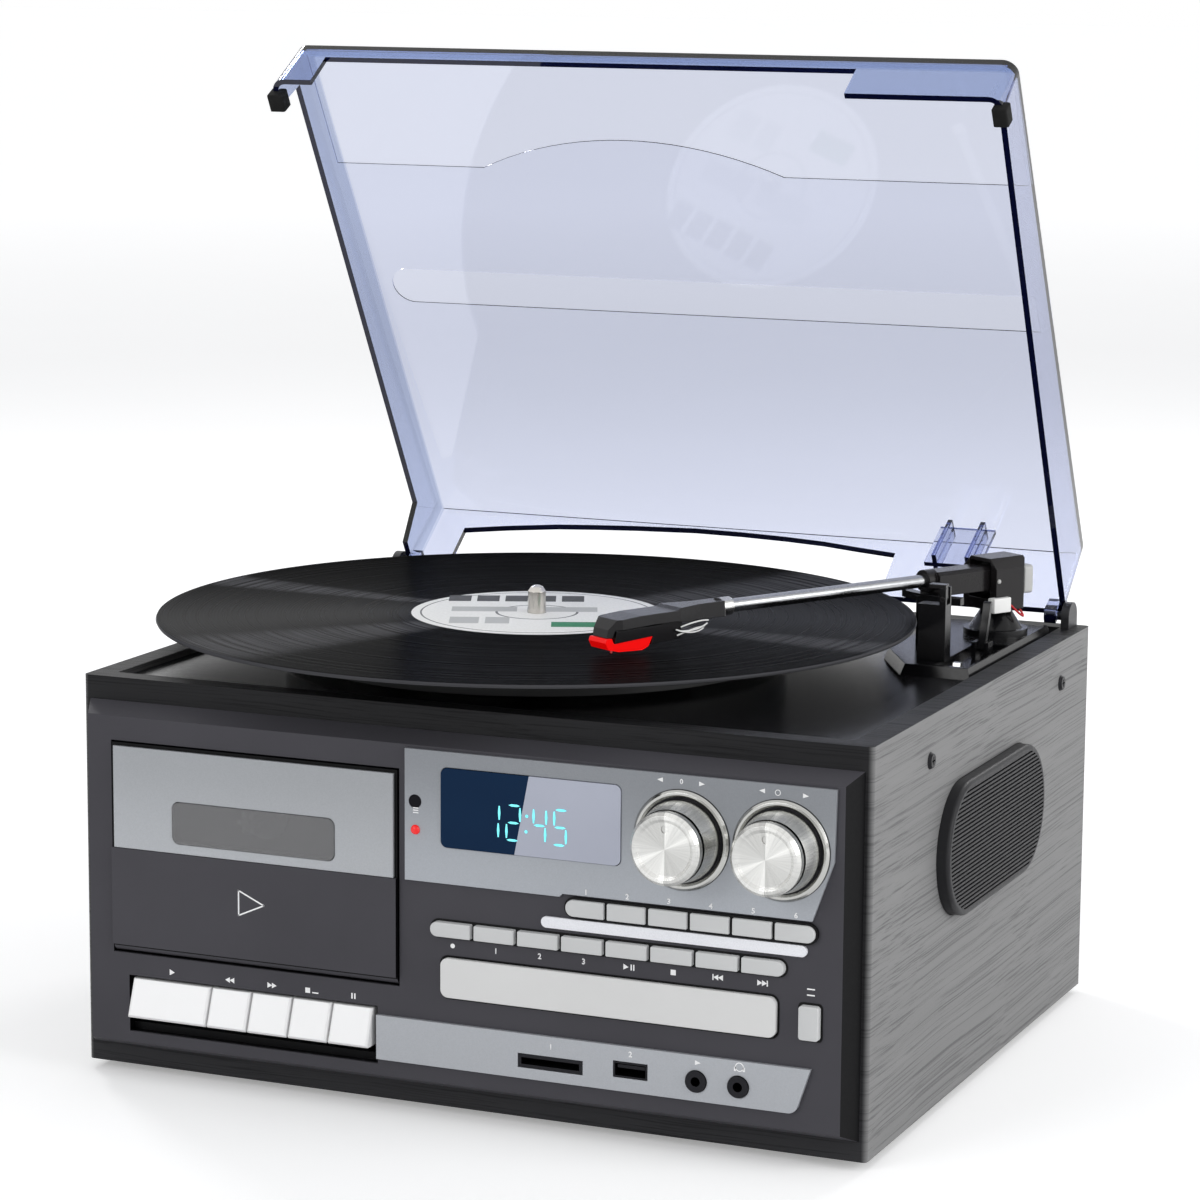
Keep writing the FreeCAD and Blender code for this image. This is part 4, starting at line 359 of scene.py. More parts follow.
# %% Rubber, paper and metals
wear(moulded("black_rubber", "171717", 0.82, grain=0.9, edge=0.4, specular=0.3, ior=1.52),
     "rubber_feet", "lid_bumpers")
wear(moulded("pressed_speaker_paper", "1b1b1c", 0.9, grain=1.4, depth=0.05), "speaker_drivers")


def metal(name, hex_colour, roughness, brush=0.35, edge=0.25):
    """A worked metal with fine, uneven polish. Brush is the size of its marks in millimetres."""
    material, tree, shader = new_finish(name)
    place = add(tree, "TexCoord").outputs["Object"]
    marks = add(tree, "TexNoise", Vector=place, Scale=1000.0 / brush / 3, Detail=3.0)
    rough = add(tree, "MapRange", Value=marks, **NOISE_SPAN, _3=roughness * 0.8, _4=roughness * 1.2)
    shade = add(tree, "MapRange", Value=marks, **NOISE_SPAN, _3=0.96, _4=1.03)
    colour = add(tree, "VectorMath", "SCALE", _0=linear(hex_colour)[:3], Scale=shade)
    rounded = add(tree, "Bevel", {"samples": 4}, Radius=edge * MM)
    fill(shader, Base_Color=colour, Roughness=rough, Normal=rounded, Metallic=1.0)
    return material


for metal_name, metal_hex, metal_rough, node in (
        ("blackened_steel", "2a2a2c", 0.42, "side_screws"),
        ("plated_steel_sockets", "2b2b2e", 0.4, "sockets"),
        ("polished_aluminium_tube", "a6a7a9", 0.2, "arm_tube"),
        ("turned_brass", "b5924e", 0.3, "motor_pulley"),
        ("nickel_plated_switch", "bfbfbd", 0.2, "deck_switch")):
    wear(metal(metal_name, metal_hex, metal_rough), node)

# %% [markdown]
# ## Knobs of spun aluminium
#
# Each knob has a cap whose face was turned on a lathe. The tool leaves rings about 0.1 mm apart, drawn
# here at 0.5 mm so that they show, and rings stretch a highlight into two bright fans that meet at the
# centre. An anisotropic metal does the same when its rough direction points outward across the rings, so
# the material works that out from the knob's centre. The white room lights such a face from every side,
# though, and then the fans drown, so their contrast is also painted into the colour as painted highlight,
# with fine spokes. The two knobs stand in different places, so each has its own copy with its own centre.
# The cone behind the cap has fine ribs for the fingers, drawn as a bump that repeats round the axis, and
# the groove between the two is painted dark, as painted shade.

# %% Spun knob metal
KNOB_RIBS = 72


def spun_metal(name, node, hex_colour, roughness, axis="Y", ribs=0, rings=0.5, anisotropy=0.75):
    """Metal turned about an axis through the middle of a node. Rings is their spacing in millimetres."""
    material, tree, shader = new_finish(name)
    low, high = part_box(node)
    coordinates = add(tree, "TexCoord")
    place = coordinates.outputs["Object"]
    local = add(tree, "VectorMath", "SUBTRACT", _0=place, _1=(low + high) / 2)
    split = add(tree, "SeparateXYZ", Vector=local)
    right, across = split.outputs["X"], split.outputs["Z" if axis == "Y" else "Y"]
    first = add(tree, "Math", "MULTIPLY", _0=right, _1=right)
    square = add(tree, "Math", "MULTIPLY_ADD", _0=across, _1=across, _2=first)
    radius = add(tree, "Math", {"operation": "SQRT", "name": "radius"}, _0=square)
    turn = add(tree, "Math", {"operation": "ARCTAN2", "name": "turn"}, _0=across, _1=right)
    outward = add(tree, "CombineXYZ", X=right, **{"Z" if axis == "Y" else "Y": across})
    tangent = add(tree, "VectorMath", "NORMALIZE", _0=outward)
    wave = add(tree, "Math", "MULTIPLY", _0=radius, _1=2 * math.pi / (rings * MM))
    height = add(tree, "Math", "SINE", _0=wave)
    if ribs:
        # The ribs only stand on the cone: outside the cap's face, where the face looks sideways.
        spokes = add(tree, "Math", "MULTIPLY", _0=turn, _1=float(ribs))
        rib = add(tree, "Math", "SINE", _0=spokes)
        normal = add(tree, "SeparateXYZ", Vector=coordinates.outputs["Normal"])
        frontal = add(tree, "Math", "LESS_THAN", _0=normal.outputs["Y"], _1=-0.6)
        height = add(tree, "Mix", {"data_type": "FLOAT"}, Factor=frontal, A=rib, B=height)
    rounded = add(tree, "Bevel", {"samples": 4}, Radius=0.25 * MM)
    bump = add(tree, "Bump", Strength=0.25, Distance=0.05 * MM, Height=height, Normal=rounded)
    drift = add(tree, "TexNoise", Vector=place, Scale=60.0, Detail=2.0)
    shade = add(tree, "MapRange", Value=drift, **NOISE_SPAN, _3=0.97, _4=1.03)
    colour = add(tree, "VectorMath", "SCALE", _0=linear(hex_colour)[:3], Scale=shade)
    fill(shader, Base_Color=colour, Tangent=tangent, Normal=bump, Metallic=1.0, Roughness=roughness,
         Anisotropic=anisotropy)
    return material


# %% Fans of light on the knobs
GROOVE_BACK = 4.4 * MM
GROOVE_HALF_WIDTH = 0.7 * MM


def add_painted_fans(material, node):
    """Two opposite fans of painted highlight on a turned face, and painted shade in the groove between cap
    and cone.
    """
    tree, shader = opened(material)
    surface = shader.inputs["Base Color"].links[0].from_socket
    half_turn = add(tree, "Math", "WRAP", _0=tree.nodes["turn"], _1=1.5 * math.pi, _2=0.5 * math.pi)
    ramp = add(tree, "MapRange", Value=half_turn, _1=0.5 * math.pi, _2=1.5 * math.pi, _3=0.62, _4=1.0)
    wedge_off = add(tree, "Math", "SUBTRACT", _0=half_turn, _1=math.radians(208))
    wedge_side = add(tree, "Math", "ABSOLUTE", _0=wedge_off)
    wedge = add(tree, "MapRange", Value=wedge_side, _1=0.0, _2=math.radians(13), _3=0.3, _4=0.0)
    fan = add(tree, "Math", "ADD", _0=ramp, _1=wedge)
    # Fine spokes, as wide as the light's own small changes from one place of the edge to the next.
    outward = shader.inputs["Tangent"].links[0].from_socket
    spoke = add(tree, "TexNoise", Vector=outward, Scale=14.0, Detail=4.0)
    spoke_tone = add(tree, "MapRange", Value=spoke, **NOISE_SPAN, _3=0.88, _4=1.08)
    tone = add(tree, "Math", "MULTIPLY", _0=fan, _1=spoke_tone)
    # Painted shade: the groove between the cap and its cone is drawn near black.
    depth = add(tree, "SeparateXYZ", Vector=add(tree, "TexCoord").outputs["Object"]).outputs["Y"]
    in_groove = add(tree, "Math", "COMPARE", _0=depth, _1=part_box(node)[0].y + GROOVE_BACK,
                    _2=GROOVE_HALF_WIDTH)
    groove_painted_shade = add(tree, "MapRange", Value=in_groove, _3=1.0, _4=0.06)
    shade = add(tree, "Math", "MULTIPLY", _0=tone, _1=groove_painted_shade)
    fill(shader, Base_Color=add(tree, "VectorMath", "SCALE", _0=surface, Scale=shade))
    return material


for node in ("tuning_knob", "volume_knob"):
    wear(add_painted_fans(spun_metal("spun_aluminium_" + node, node, "e6e6e3", 0.26, ribs=KNOB_RIBS), node), node)

# The platter is pressed steel, painted black and turned true at its rim. The spindle in its middle is bare
# steel, so inside a radius of 4.5 mm the paint gives way to a bright metal. Paint is no metal, so the
# metallic share changes there too.
platter_paint = spun_metal("painted_steel_platter", "platter", "1d1d1f", 0.5, axis="Z", anisotropy=0.3)
paint_tree, paint_shader = opened(platter_paint)
on_spindle = add(paint_tree, "Math", "LESS_THAN", _0=paint_tree.nodes["radius"], _1=4.5 * MM)
paint_or_steel = add(paint_tree, "Mix", {"data_type": "RGBA"}, Factor=on_spindle, A=linear("1d1d1f"),
                     B=linear("cfcbc5"))
paint_or_gloss = add(paint_tree, "MapRange", Value=on_spindle, _3=0.5, _4=0.22)
fill(paint_shader, Base_Color=paint_or_steel, Metallic=on_spindle, Roughness=paint_or_gloss)
wear(platter_paint, "platter")

# %% [markdown]
# ## Drawing and spinning an outline
#
# Round pieces such as a record are turned: half of the outline is drawn, and then it is spun about the
# axis. The outline starts as one point and is drawn by extruding that point, just as with the E key in
# edit mode. Spinning a closed outline may leave faces that point inwards, so the doubled points where the
# spin meets itself are merged first and the faces are then turned outwards.

# %% Tools for every new piece
WELD = 0.005 * MM


def deselect_all():
    """Nothing stays selected, so that the next operator acts only on what it should."""
    if bpy.context.object is not None and bpy.context.object.mode != "OBJECT":
        bpy.ops.object.mode_set(mode="OBJECT")
    bpy.ops.object.select_all(action="DESELECT")


def pick(piece):
    """Selects one piece alone and makes it the active one."""
    deselect_all()
    piece.select_set(True)
    bpy.context.view_layer.objects.active = piece


def settle(piece, name, material, smooth=30):
    """Names a finished piece, puts its place into its mesh and gives it its finish."""
    pick(piece)
    bpy.ops.object.transform_apply(location=True, rotation=True, scale=True)
    if smooth:
        bpy.ops.object.shade_smooth_by_angle(angle=math.radians(smooth))
    piece.name = piece.data.name = name
    piece.data.materials.clear()
    piece.data.materials.append(material)
    return piece


def joined(shapes, name, material, body):
    """Joins small shapes into one piece that rides on a body."""
    deselect_all()
    for shape in shapes:
        shape.select_set(True)
    bpy.context.view_layer.objects.active = shapes[0]
    bpy.ops.object.join()
    piece = settle(bpy.context.object, name, material, smooth=0)
    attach(piece, body)
    print(name, "is", len(shapes), "shapes with", len(piece.data.polygons), "faces")
    return piece


def moved_by(piece, move):
    """Moves a finished piece by a matrix and puts its new place into its mesh."""
    pick(piece)
    piece.matrix_world = move @ piece.matrix_world
    bpy.ops.object.transform_apply(location=True, rotation=True, scale=True)
    return piece


def face_outwards():
    """Turns the faces of the piece in edit mode outwards and leaves edit mode."""
    bpy.ops.mesh.select_all(action="SELECT")
    bpy.ops.mesh.normals_make_consistent(inside=False)
    bpy.ops.object.mode_set(mode="OBJECT")


# %% Outlines, plates and turned pieces


def draw_outline(points):
    """Draws a closed outline from one point, and stays in edit mode with all of it selected."""
    deselect_all()
    bpy.ops.mesh.primitive_circle_add(vertices=3, radius=0.1 * MM, location=points[0])
    piece = bpy.context.object
    bpy.ops.object.mode_set(mode="EDIT")
    bpy.ops.mesh.select_mode(type="VERT")
    bpy.ops.mesh.select_all(action="SELECT")
    bpy.ops.mesh.merge(type="CENTER")
    for start, end in zip(points, points[1:] + points[:1]):
        bpy.ops.mesh.extrude_vertices_move(TRANSFORM_OT_translate={"value": end - start})
    bpy.ops.mesh.select_all(action="SELECT")
    bpy.ops.mesh.remove_doubles(threshold=WELD)
    bpy.ops.mesh.select_all(action="SELECT")
    return piece


def drawn_plate(name, outline, depth, material):
    """A plate: a flat outline of points in millimetres, filled and pulled out along a depth."""
    piece = draw_outline([Vector(point) * MM for point in outline])
    bpy.ops.mesh.edge_face_add()
    bpy.ops.mesh.extrude_region_move(TRANSFORM_OT_translate={"value": Vector(depth) * MM})
    face_outwards()
    return settle(piece, name, material, smooth=0)


def take_away(piece, cutter):
    """Takes the shape of a cutter away from a piece and deletes the cutter."""
    pick(piece)
    bpy.ops.object.modifier_add(type="BOOLEAN")
    cut = piece.modifiers[-1]
    cut.operation = "DIFFERENCE"
    cut.solver = "EXACT"
    cut.object = cutter
    bpy.ops.object.modifier_apply(modifier=cut.name)
    pick(cutter)
    bpy.ops.object.delete()


def turned_piece(name, profile, centre, axis, steps, material, smooth=30):
    """Spins an outline of (radius, height) points, in millimetres, about an axis through the centre."""
    lift = {"X": Vector((1, 0, 0)), "Y": Vector((0, 1, 0)), "Z": Vector((0, 0, 1))}[axis]
    outward = Vector((0, 0, 1)) if axis == "X" else Vector((1, 0, 0))
    piece = draw_outline([(Vector(centre) + outward * r + lift * h) * MM for r, h in profile])
    bpy.ops.mesh.spin(steps=steps, angle=2 * math.pi, center=Vector(centre) * MM, axis=lift)
    bpy.ops.mesh.select_all(action="SELECT")
    bpy.ops.mesh.remove_doubles(threshold=WELD)
    face_outwards()
    piece = settle(piece, name, material, smooth)
    print(name, "has", len(piece.data.polygons), "faces")
    return piece


# %% [markdown]
# ## Push buttons in their rows
#
# The buttons stand side by side in two rows. Where two of them meet they are square, with only a thin dark
# line between, and the row's outer ends are round. The construction model gives each one two round ends,
# so they are made anew here: a cube at the button's size, its two outer edges rounded by a wide bevel, the
# inner ones by a small one, and its front edge softened as the mould softens it. Under each row lies a
# thin black frame, painted shade that shows as the dark line in the gaps round the buttons. The tray and
# its own button get one too.

# %% Blocks with rounded ends
# Points whose distances from a line add up to less than this, in metres, lie on it.
TOUCH = 1e-6


def choose_edges(piece, wanted):
    """Selects the edges whose two ends pass a test, and stays in edit mode."""
    bpy.ops.object.mode_set(mode="EDIT")
    bpy.ops.mesh.select_mode(type="EDGE")
    bpy.ops.mesh.select_all(action="DESELECT")
    bpy.ops.object.mode_set(mode="OBJECT")
    points = piece.data.vertices
    for edge in piece.data.edges:
        edge.select = wanted(points[edge.vertices[0]].co, points[edge.vertices[1]].co)
    bpy.ops.object.mode_set(mode="EDIT")


def rounded_block(name, low, high, left_radius, right_radius, soft, material):
    """A block whose upright corners, seen from the front, have the radii given, in metres."""
    deselect_all()
    bpy.ops.mesh.primitive_cube_add(size=1.0, location=(low + high) / 2)
    piece = bpy.context.object
    piece.scale = high - low
    bpy.ops.object.transform_apply(location=True, rotation=True, scale=True)
    for side_x, radius in ((low.x, left_radius), (high.x, right_radius)):
        choose_edges(piece, lambda a, b: abs(a.x - side_x) + abs(b.x - side_x) < TOUCH
                     and abs(a.z - b.z) < TOUCH and abs(a.y - b.y) > 0.1 * MM)
        bpy.ops.mesh.bevel(offset=radius, segments=8, affect="EDGES", clamp_overlap=True)
        bpy.ops.object.mode_set(mode="OBJECT")
    if soft:
        choose_edges(piece, lambda a, b: abs(a.y - low.y) + abs(b.y - low.y) < TOUCH)
        bpy.ops.mesh.bevel(offset=soft, segments=3, affect="EDGES", clamp_overlap=True)
    bpy.ops.object.mode_set(mode="OBJECT")
    return settle(piece, name, material)


# %% The rows of buttons
FLANGE = 0.8 * MM
CORNER = 0.5 * MM
GAP_SHARE = 0.15 * MM
FRAME_WIDTH = 0.85 * MM
FRAME_PROUD = 0.09 * MM
ROUND_END = 0.49
bezel_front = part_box("front_bezel")[0].y
facia_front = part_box("display_facia")[0].y
# Near black plastic for the frames, which paint the shade in the gaps round the buttons and the tray.
gap_shade_black = moulded("gap_shade_black_plastic", "08080a", 0.5, grain=0.8, specular=0.2)


def push_button(node, round_left, round_right, corner=CORNER):
    """The button that stands for a CAD node, without the hidden flange behind the bezel."""
    low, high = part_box(node)
    low = Vector((low.x + GAP_SHARE * (not round_left), low.y, low.z + FLANGE))
    high = Vector((high.x - GAP_SHARE * (not round_right), high.y, high.z - FLANGE))
    end = (high.z - low.z) * ROUND_END
    button = rounded_block(node + "_cap", low, high, end if round_left else corner,
                           end if round_right else corner, 0.45 * MM, button_plastic)
    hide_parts(node)
    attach(button, node + "_body")
    return low, high


def gap_shade_frame(name, low, high, front, corner=None):
    """A thin black plate on the front, a little larger than what comes through it: painted shade in the gap.
    """
    edge = Vector((FRAME_WIDTH, 0, FRAME_WIDTH))
    base = Vector((low.x, front - FRAME_PROUD, low.z)) - edge
    top = Vector((high.x, bezel_front + 0.3 * MM, high.z)) + edge
    radius = (top.z - base.z) * ROUND_END if corner is None else corner
    frame_plate = rounded_block(name, base, top, radius, radius, 0, gap_shade_black)
    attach(frame_plate, "chassis")
    return frame_plate


for row, count, front in (("function", 6, facia_front), ("playback", 8, bezel_front)):
    ends = [push_button(f"{row}_button_{i}", i == 1, i == count) for i in range(1, count + 1)]
    gap_shade_frame(row + "_row_frame", ends[0][0], ends[-1][1], front)
    print(row, "row:", count, "buttons")
small_low, small_high = push_button("tray_button", False, False, corner=1.3 * MM)
gap_shade_frame("tray_button_frame", small_low, small_high, bezel_front, 1.7 * MM)

# %% The tray's frame
# The tray slides through its frame, so the frame gets an opening, a little larger than the tray's front.
tray_low, tray_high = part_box("disc_tray")
tray_frame = gap_shade_frame("tray_frame", tray_low, tray_high, bezel_front, 3.4 * MM)
hole_edge = Vector((0.1 * MM, 0, 0.1 * MM))
hole_low = Vector((tray_low.x, bezel_front - 2 * MM, tray_low.z)) - hole_edge
hole_high = Vector((tray_high.x, bezel_front + 2 * MM, tray_high.z)) + hole_edge
take_away(tray_frame, rounded_block("tray_hole", hole_low, hole_high, 2.6 * MM, 2.6 * MM, 0, gap_shade_black))
print("tray frame has", len(tray_frame.data.polygons), "faces")

# %% [markdown]
# ## The record
#
# A record is black vinyl with a spiral groove that is too fine to see, about a tenth of a millimetre from
# turn to turn, and so it is drawn at 1.3 mm. What the eye sees is its effect: highlights that are drawn
# out into rays across the disc, and slightly different bands where the music is loud or quiet. A rough,
# stretched highlight alone turns the whole disc grey here, because the room is white all round. So most of
# the shine is taken away, and three pairs of rays are drawn in the colour, each along a line through the
# spindle and broken up by the bands. The disc itself is turned afresh in 256 steps, because its long
# smooth outline would show every corner.

# %% Vinyl
record_low, record_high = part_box("vinyl_record")
SPINDLE = (record_low + record_high) / 2
RECORD_RADIUS = 150.4
RECORD_HOLE = 3.63
RECORD_THICK = 1.6
# Each pair of rays: its turn about the spindle, half its width, both in degrees, and its strength.
RAYS = ((57.0, 13.0, 0.36), (-6.0, 6.0, 0.4), (25.0, 45.0, 0.05))


def spindle_distance(tree):
    """The distance from the spindle's axis, the same at any height."""
    offset = add(tree, "VectorMath", "SUBTRACT", _0=add(tree, "TexCoord").outputs["Object"], _1=SPINDLE)
    flat = add(tree, "VectorMath", "MULTIPLY", _0=offset, _1=(1.0, 1.0, 0.0))
    return add(tree, "VectorMath", "LENGTH", _0=flat)


vinyl = spun_metal("pressed_vinyl", "vinyl_record", "0b0b0c", 0.3, axis="Z", rings=1.3, anisotropy=0.97)
vinyl_tree, vinyl_shader = opened(vinyl)
distance = spindle_distance(vinyl_tree)
band_line = add(vinyl_tree, "CombineXYZ", X=distance)
loudness = add(vinyl_tree, "TexNoise", Vector=band_line, Scale=420.0, Detail=5.0, Roughness=0.7)
groove_rough = add(vinyl_tree, "MapRange", Value=loudness, **NOISE_SPAN, _3=0.22, _4=0.36)
fill(vinyl_shader, Roughness=groove_rough, Metallic=0.0, IOR=1.53, Specular_IOR_Level=0.002)


def rays(degrees, half_width):
    """A pair of rays along one line through the spindle: 1 on the line, 0 outside its half width."""
    double = add(vinyl_tree, "Math", "MULTIPLY_ADD", _0=vinyl_tree.nodes["turn"], _1=2.0,
                 _2=-2 * math.radians(degrees))
    wave = add(vinyl_tree, "Math", "COSINE", _0=double)
    return add(vinyl_tree, "MapRange", {"interpolation_type": "SMOOTHSTEP"}, Value=wave,
               _1=math.cos(2 * math.radians(half_width)), _2=1.0)


all_rays = 0.0
for degrees, half_width, strength in RAYS:
    all_rays = add(vinyl_tree, "Math", "MULTIPLY_ADD", _0=rays(degrees, half_width), _1=strength,
                   _2=all_rays)
band_share = add(vinyl_tree, "MapRange", Value=loudness, _1=0.42, _2=0.62, _3=0.1, _4=1.0)
recolour(vinyl, add(vinyl_tree, "Math", "MULTIPLY", _0=all_rays, _1=band_share), "8c8c90")
# Painted highlight: the rounded rim is drawn as a thin pale line all round, where it would catch the light.
painted_rim_highlight = add(vinyl_tree, "Math", "GREATER_THAN", _0=distance, _1=(RECORD_RADIUS - 0.35) * MM)
recolour(vinyl, painted_rim_highlight, "48484b")
print(vinyl.name, "has", len(RAYS), "pairs of rays")

# %% The disc
centre_mm = SPINDLE / MM
seat = record_low.z / MM
record_profile = (
    (RECORD_HOLE, seat), (RECORD_RADIUS - 0.4, seat), (RECORD_RADIUS, seat + RECORD_THICK / 2),
    (RECORD_RADIUS - 0.4, seat + RECORD_THICK), (RECORD_RADIUS - 3.0, seat + RECORD_THICK),
    (RECORD_RADIUS - 4.2, seat + 1.35), (58.0, seat + 1.35), (51.0, seat + RECORD_THICK),
    (RECORD_HOLE, seat + RECORD_THICK))
record = turned_piece("record_disc", record_profile, (centre_mm.x, centre_mm.y, 0), "Z", 256, vinyl)
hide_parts("vinyl_record")
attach(record, "turntable")

# %% [markdown]
# ## The record's label
#
# The label is a paper disc that is pressed into the vinyl. The paper is near white and matt, with a slight
# tooth, and two thin rings are printed on it. The rings could be thin pieces, but they are flat and round,
# so the finish draws them by their distance from the spindle.

# %% Label
LABEL_RADIUS = 50.0
LABEL_LOW = seat + 1.62
LABEL_TOP = seat + 1.7
label_paper, label_tree, label_shader = new_finish("coated_label_paper")
label_distance = spindle_distance(label_tree)
outer_ring, inner_ring = [
    add(label_tree, "Math", "COMPARE", _0=label_distance, _1=radius * MM, _2=half_width * MM)
    for radius, half_width in ((46.0, 0.35), (16.0, 0.5))]
tooth = add(label_tree, "TexNoise", Vector=add(label_tree, "TexCoord").outputs["Object"], Scale=900.0,
            Detail=3.0)
paper_tone = add(label_tree, "MapRange", Value=tooth, **NOISE_SPAN, _3=0.0, _4=1.0)
paper = add(label_tree, "Mix", {"data_type": "RGBA"}, Factor=paper_tone, A=linear("e3e3e0"),
            B=linear("efefec"))
paper_bump = add(label_tree, "Bump", Strength=0.3, Distance=0.02 * MM, Height=tooth)
fill(label_shader, Base_Color=paper, Normal=paper_bump, Roughness=0.6, IOR=1.5)
recolour(label_paper, add(label_tree, "Math", "MAXIMUM", _0=outer_ring, _1=inner_ring), "5b5c5e")
label_profile = ((RECORD_HOLE + 0.1, LABEL_LOW), (LABEL_RADIUS - 0.2, LABEL_LOW),
                 (LABEL_RADIUS - 0.4, LABEL_TOP), (RECORD_HOLE + 0.1, LABEL_TOP))
label = turned_piece("record_label", label_profile, (centre_mm.x, centre_mm.y, 0), "Z", 128, label_paper)
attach(label, "turntable")

# %% [markdown]
# The print on the label is a few bars of ink, laid out as such labels are: a dark title, two pairs of
# paler bars and a green one. They are thin plates, turned so that they face the camera.

# %% Print on the label
across_label = Vector((math.cos(CAMERA_AZIMUTH), math.sin(CAMERA_AZIMUTH), 0))
along_label = Vector((-across_label.y, across_label.x, 0))
# Ink and the skin of a wire are far smoother than a moulding.
SMOOTH_SKIN = {"grain": 0.6, "depth": 0.004}
dark_ink, grey_ink, green_ink = [
    moulded(ink_name + "_label_ink", ink_hex, 0.6, edge=0.02, tone=0.05, specular=0.2, **SMOOTH_SKIN)
    for ink_name, ink_hex in (("dark", "4a4b4d"), ("grey", "b9bab9"), ("green", "2f7f5a"))]
# Each bar: its left, right, near and far side, in millimetres from the middle of the label.
TITLE_BARS = [(left, left + 9.0, 24.5, 38.0) for left in (-36.0, -24.6, -13.2, -1.8, 9.6)]
PALE_BARS = [(-34.0, -8.0, 1.0, 11.5), (-4.0, 24.0, 1.0, 11.5),
             (-34.0, -22.5, -26.0, -12.0), (-20.0, -10.5, -26.0, -12.0)]
GREEN_BARS = [(6.0, 26.0, -33.0, -22.0)]


def label_point(right, away):
    """A place on the label, in millimetres to the right of its centre and away from the camera."""
    return Vector((centre_mm.x, centre_mm.y, LABEL_TOP)) + across_label * right + along_label * away


def label_bar(left, right, near, far):
    """One bar of ink, drawn as a thin plate."""
    corners = [label_point(left, near), label_point(right, near), label_point(right, far),
               label_point(left, far)]
    return drawn_plate("label_bar", corners, (0, 0, 0.04), dark_ink)


for print_name, ink, bars in (("label_title", dark_ink, TITLE_BARS), ("label_lines", grey_ink, PALE_BARS),
                              ("label_green_bar", green_ink, GREEN_BARS)):
    joined([label_bar(*sides) for sides in bars], print_name, ink, "turntable")

# %% [markdown]
# ## Printed signs
#
# The front is printed with white ink, a hundredth of a millimetre thick, drawn at 0.05 mm. Each sign could
# be a picture on the plastic, but as thin pieces they stay sharp at any distance. Every sign is a flat
# primitive: a triangle, a bar, a disc, a ring or a number, laid on its panel and given a little thickness.
# Only signs and plain numbers that any such machine has are drawn.

# %% Signs
INK = 0.05
EM_PER_DIGIT = 1.55
BEZEL_FACE, FACIA_FACE, STRIP_FACE, DOOR_FACE, DISPLAY_FACE = [
    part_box(node)[0].y / MM
    for node in ("front_bezel", "display_facia", "lower_strip", "cassette_door", "front_lenses")]
FLOOR_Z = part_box("cabinet_box")[0].z / MM


def stand_up(x, z, face):
    """Stands the new flat shape up on a front face, with the ink's thickness."""
    piece = bpy.context.object
    bpy.ops.object.mode_set(mode="EDIT")
    bpy.ops.mesh.select_all(action="SELECT")
    bpy.ops.mesh.extrude_region_move(TRANSFORM_OT_translate={"value": (0, 0, INK * MM)})
    face_outwards()
    piece.rotation_euler = (math.radians(90), 0, 0)
    piece.location = Vector((x, face, z + FLOOR_Z)) * MM
    bpy.ops.object.transform_apply(location=True, rotation=True, scale=True)
    return piece


def stretch(width, height):
    """Puts the new shape's turn into its mesh and then stretches it, by millimetres."""
    bpy.ops.object.transform_apply(location=False, rotation=True, scale=False)
    bpy.context.object.scale = (width * MM, height * MM, 1)
    bpy.ops.object.transform_apply(location=False, rotation=False, scale=True)


def triangle(x, z, face, width, height, points_right=True):
    """A triangle that points to one side. The circle's three points make it 1.5 wide and root 3 high."""
    deselect_all()
    bpy.ops.mesh.primitive_circle_add(vertices=3, radius=1.0, fill_type="NGON",
                                      rotation=(0, 0, math.radians(-90 if points_right else 90)))
    stretch(width / 1.5, height / math.sqrt(3))
    return stand_up(x, z, face)


def bar(x, z, face, width, height, lean=0.0):
    """A straight bar, level or leaning by some degrees."""
    deselect_all()
    bpy.ops.mesh.primitive_plane_add(size=1.0)
    stretch(width, height)
    bpy.context.object.rotation_euler = (0, 0, math.radians(lean))
    bpy.ops.object.transform_apply(location=False, rotation=True, scale=False)
    return stand_up(x, z, face)


def dot(x, z, face, radius):
    """A small disc."""
    deselect_all()
    bpy.ops.mesh.primitive_circle_add(vertices=24, radius=radius * MM, fill_type="NGON")
    return stand_up(x, z, face)


def number(text, x, z, face, height):
    """A plain number in Blender's own letters, turned into a mesh."""
    deselect_all()
    bpy.ops.object.text_add()
    letters = bpy.context.object.data
    letters.body = text
    letters.align_x = letters.align_y = "CENTER"
    letters.size = height * EM_PER_DIGIT * MM
    letters.offset = 0.08 * MM
    letters.resolution_u = 4
    bpy.ops.object.convert(target="MESH")
    return stand_up(x, z, face)


def ring_sign(x, z, face, radius, width):
    """A thin ring, from a disc whose middle is inset and deleted."""
    deselect_all()
    bpy.ops.mesh.primitive_circle_add(vertices=32, radius=radius * MM, fill_type="NGON")
    bpy.ops.object.mode_set(mode="EDIT")
    bpy.ops.mesh.select_all(action="SELECT")
    bpy.ops.mesh.inset(thickness=width * MM)
    bpy.ops.mesh.delete(type="FACE")
    bpy.ops.object.mode_set(mode="OBJECT")
    return stand_up(x, z, face)


# %% [markdown]
# White screen ink is a thick matt paint. It is drawn with a faint unevenness, as the mesh of the printing
# screen leaves it. The signs are laid out in tables: places and sizes are in millimetres, to the right of
# the cabinet's middle and above its lower edge.

# %% White ink and the signs on the front
white_ink = moulded("white_screen_ink", "fcfcfc", 0.5, edge=0.02, tone=0.02, **SMOOTH_SKIN)


def skip_sign(x, z, face, step):
    """The two triangles and the bar of a skip sign. Step is 1 to the right and -1 to the left."""
    return [triangle(x - 1.2 * step, z, face, 1.9, 2.2, step > 0),
            triangle(x + 0.6 * step, z, face, 1.9, 2.2, step > 0),
            bar(x + 2.0 * step, z, face, 0.45, 2.2)]


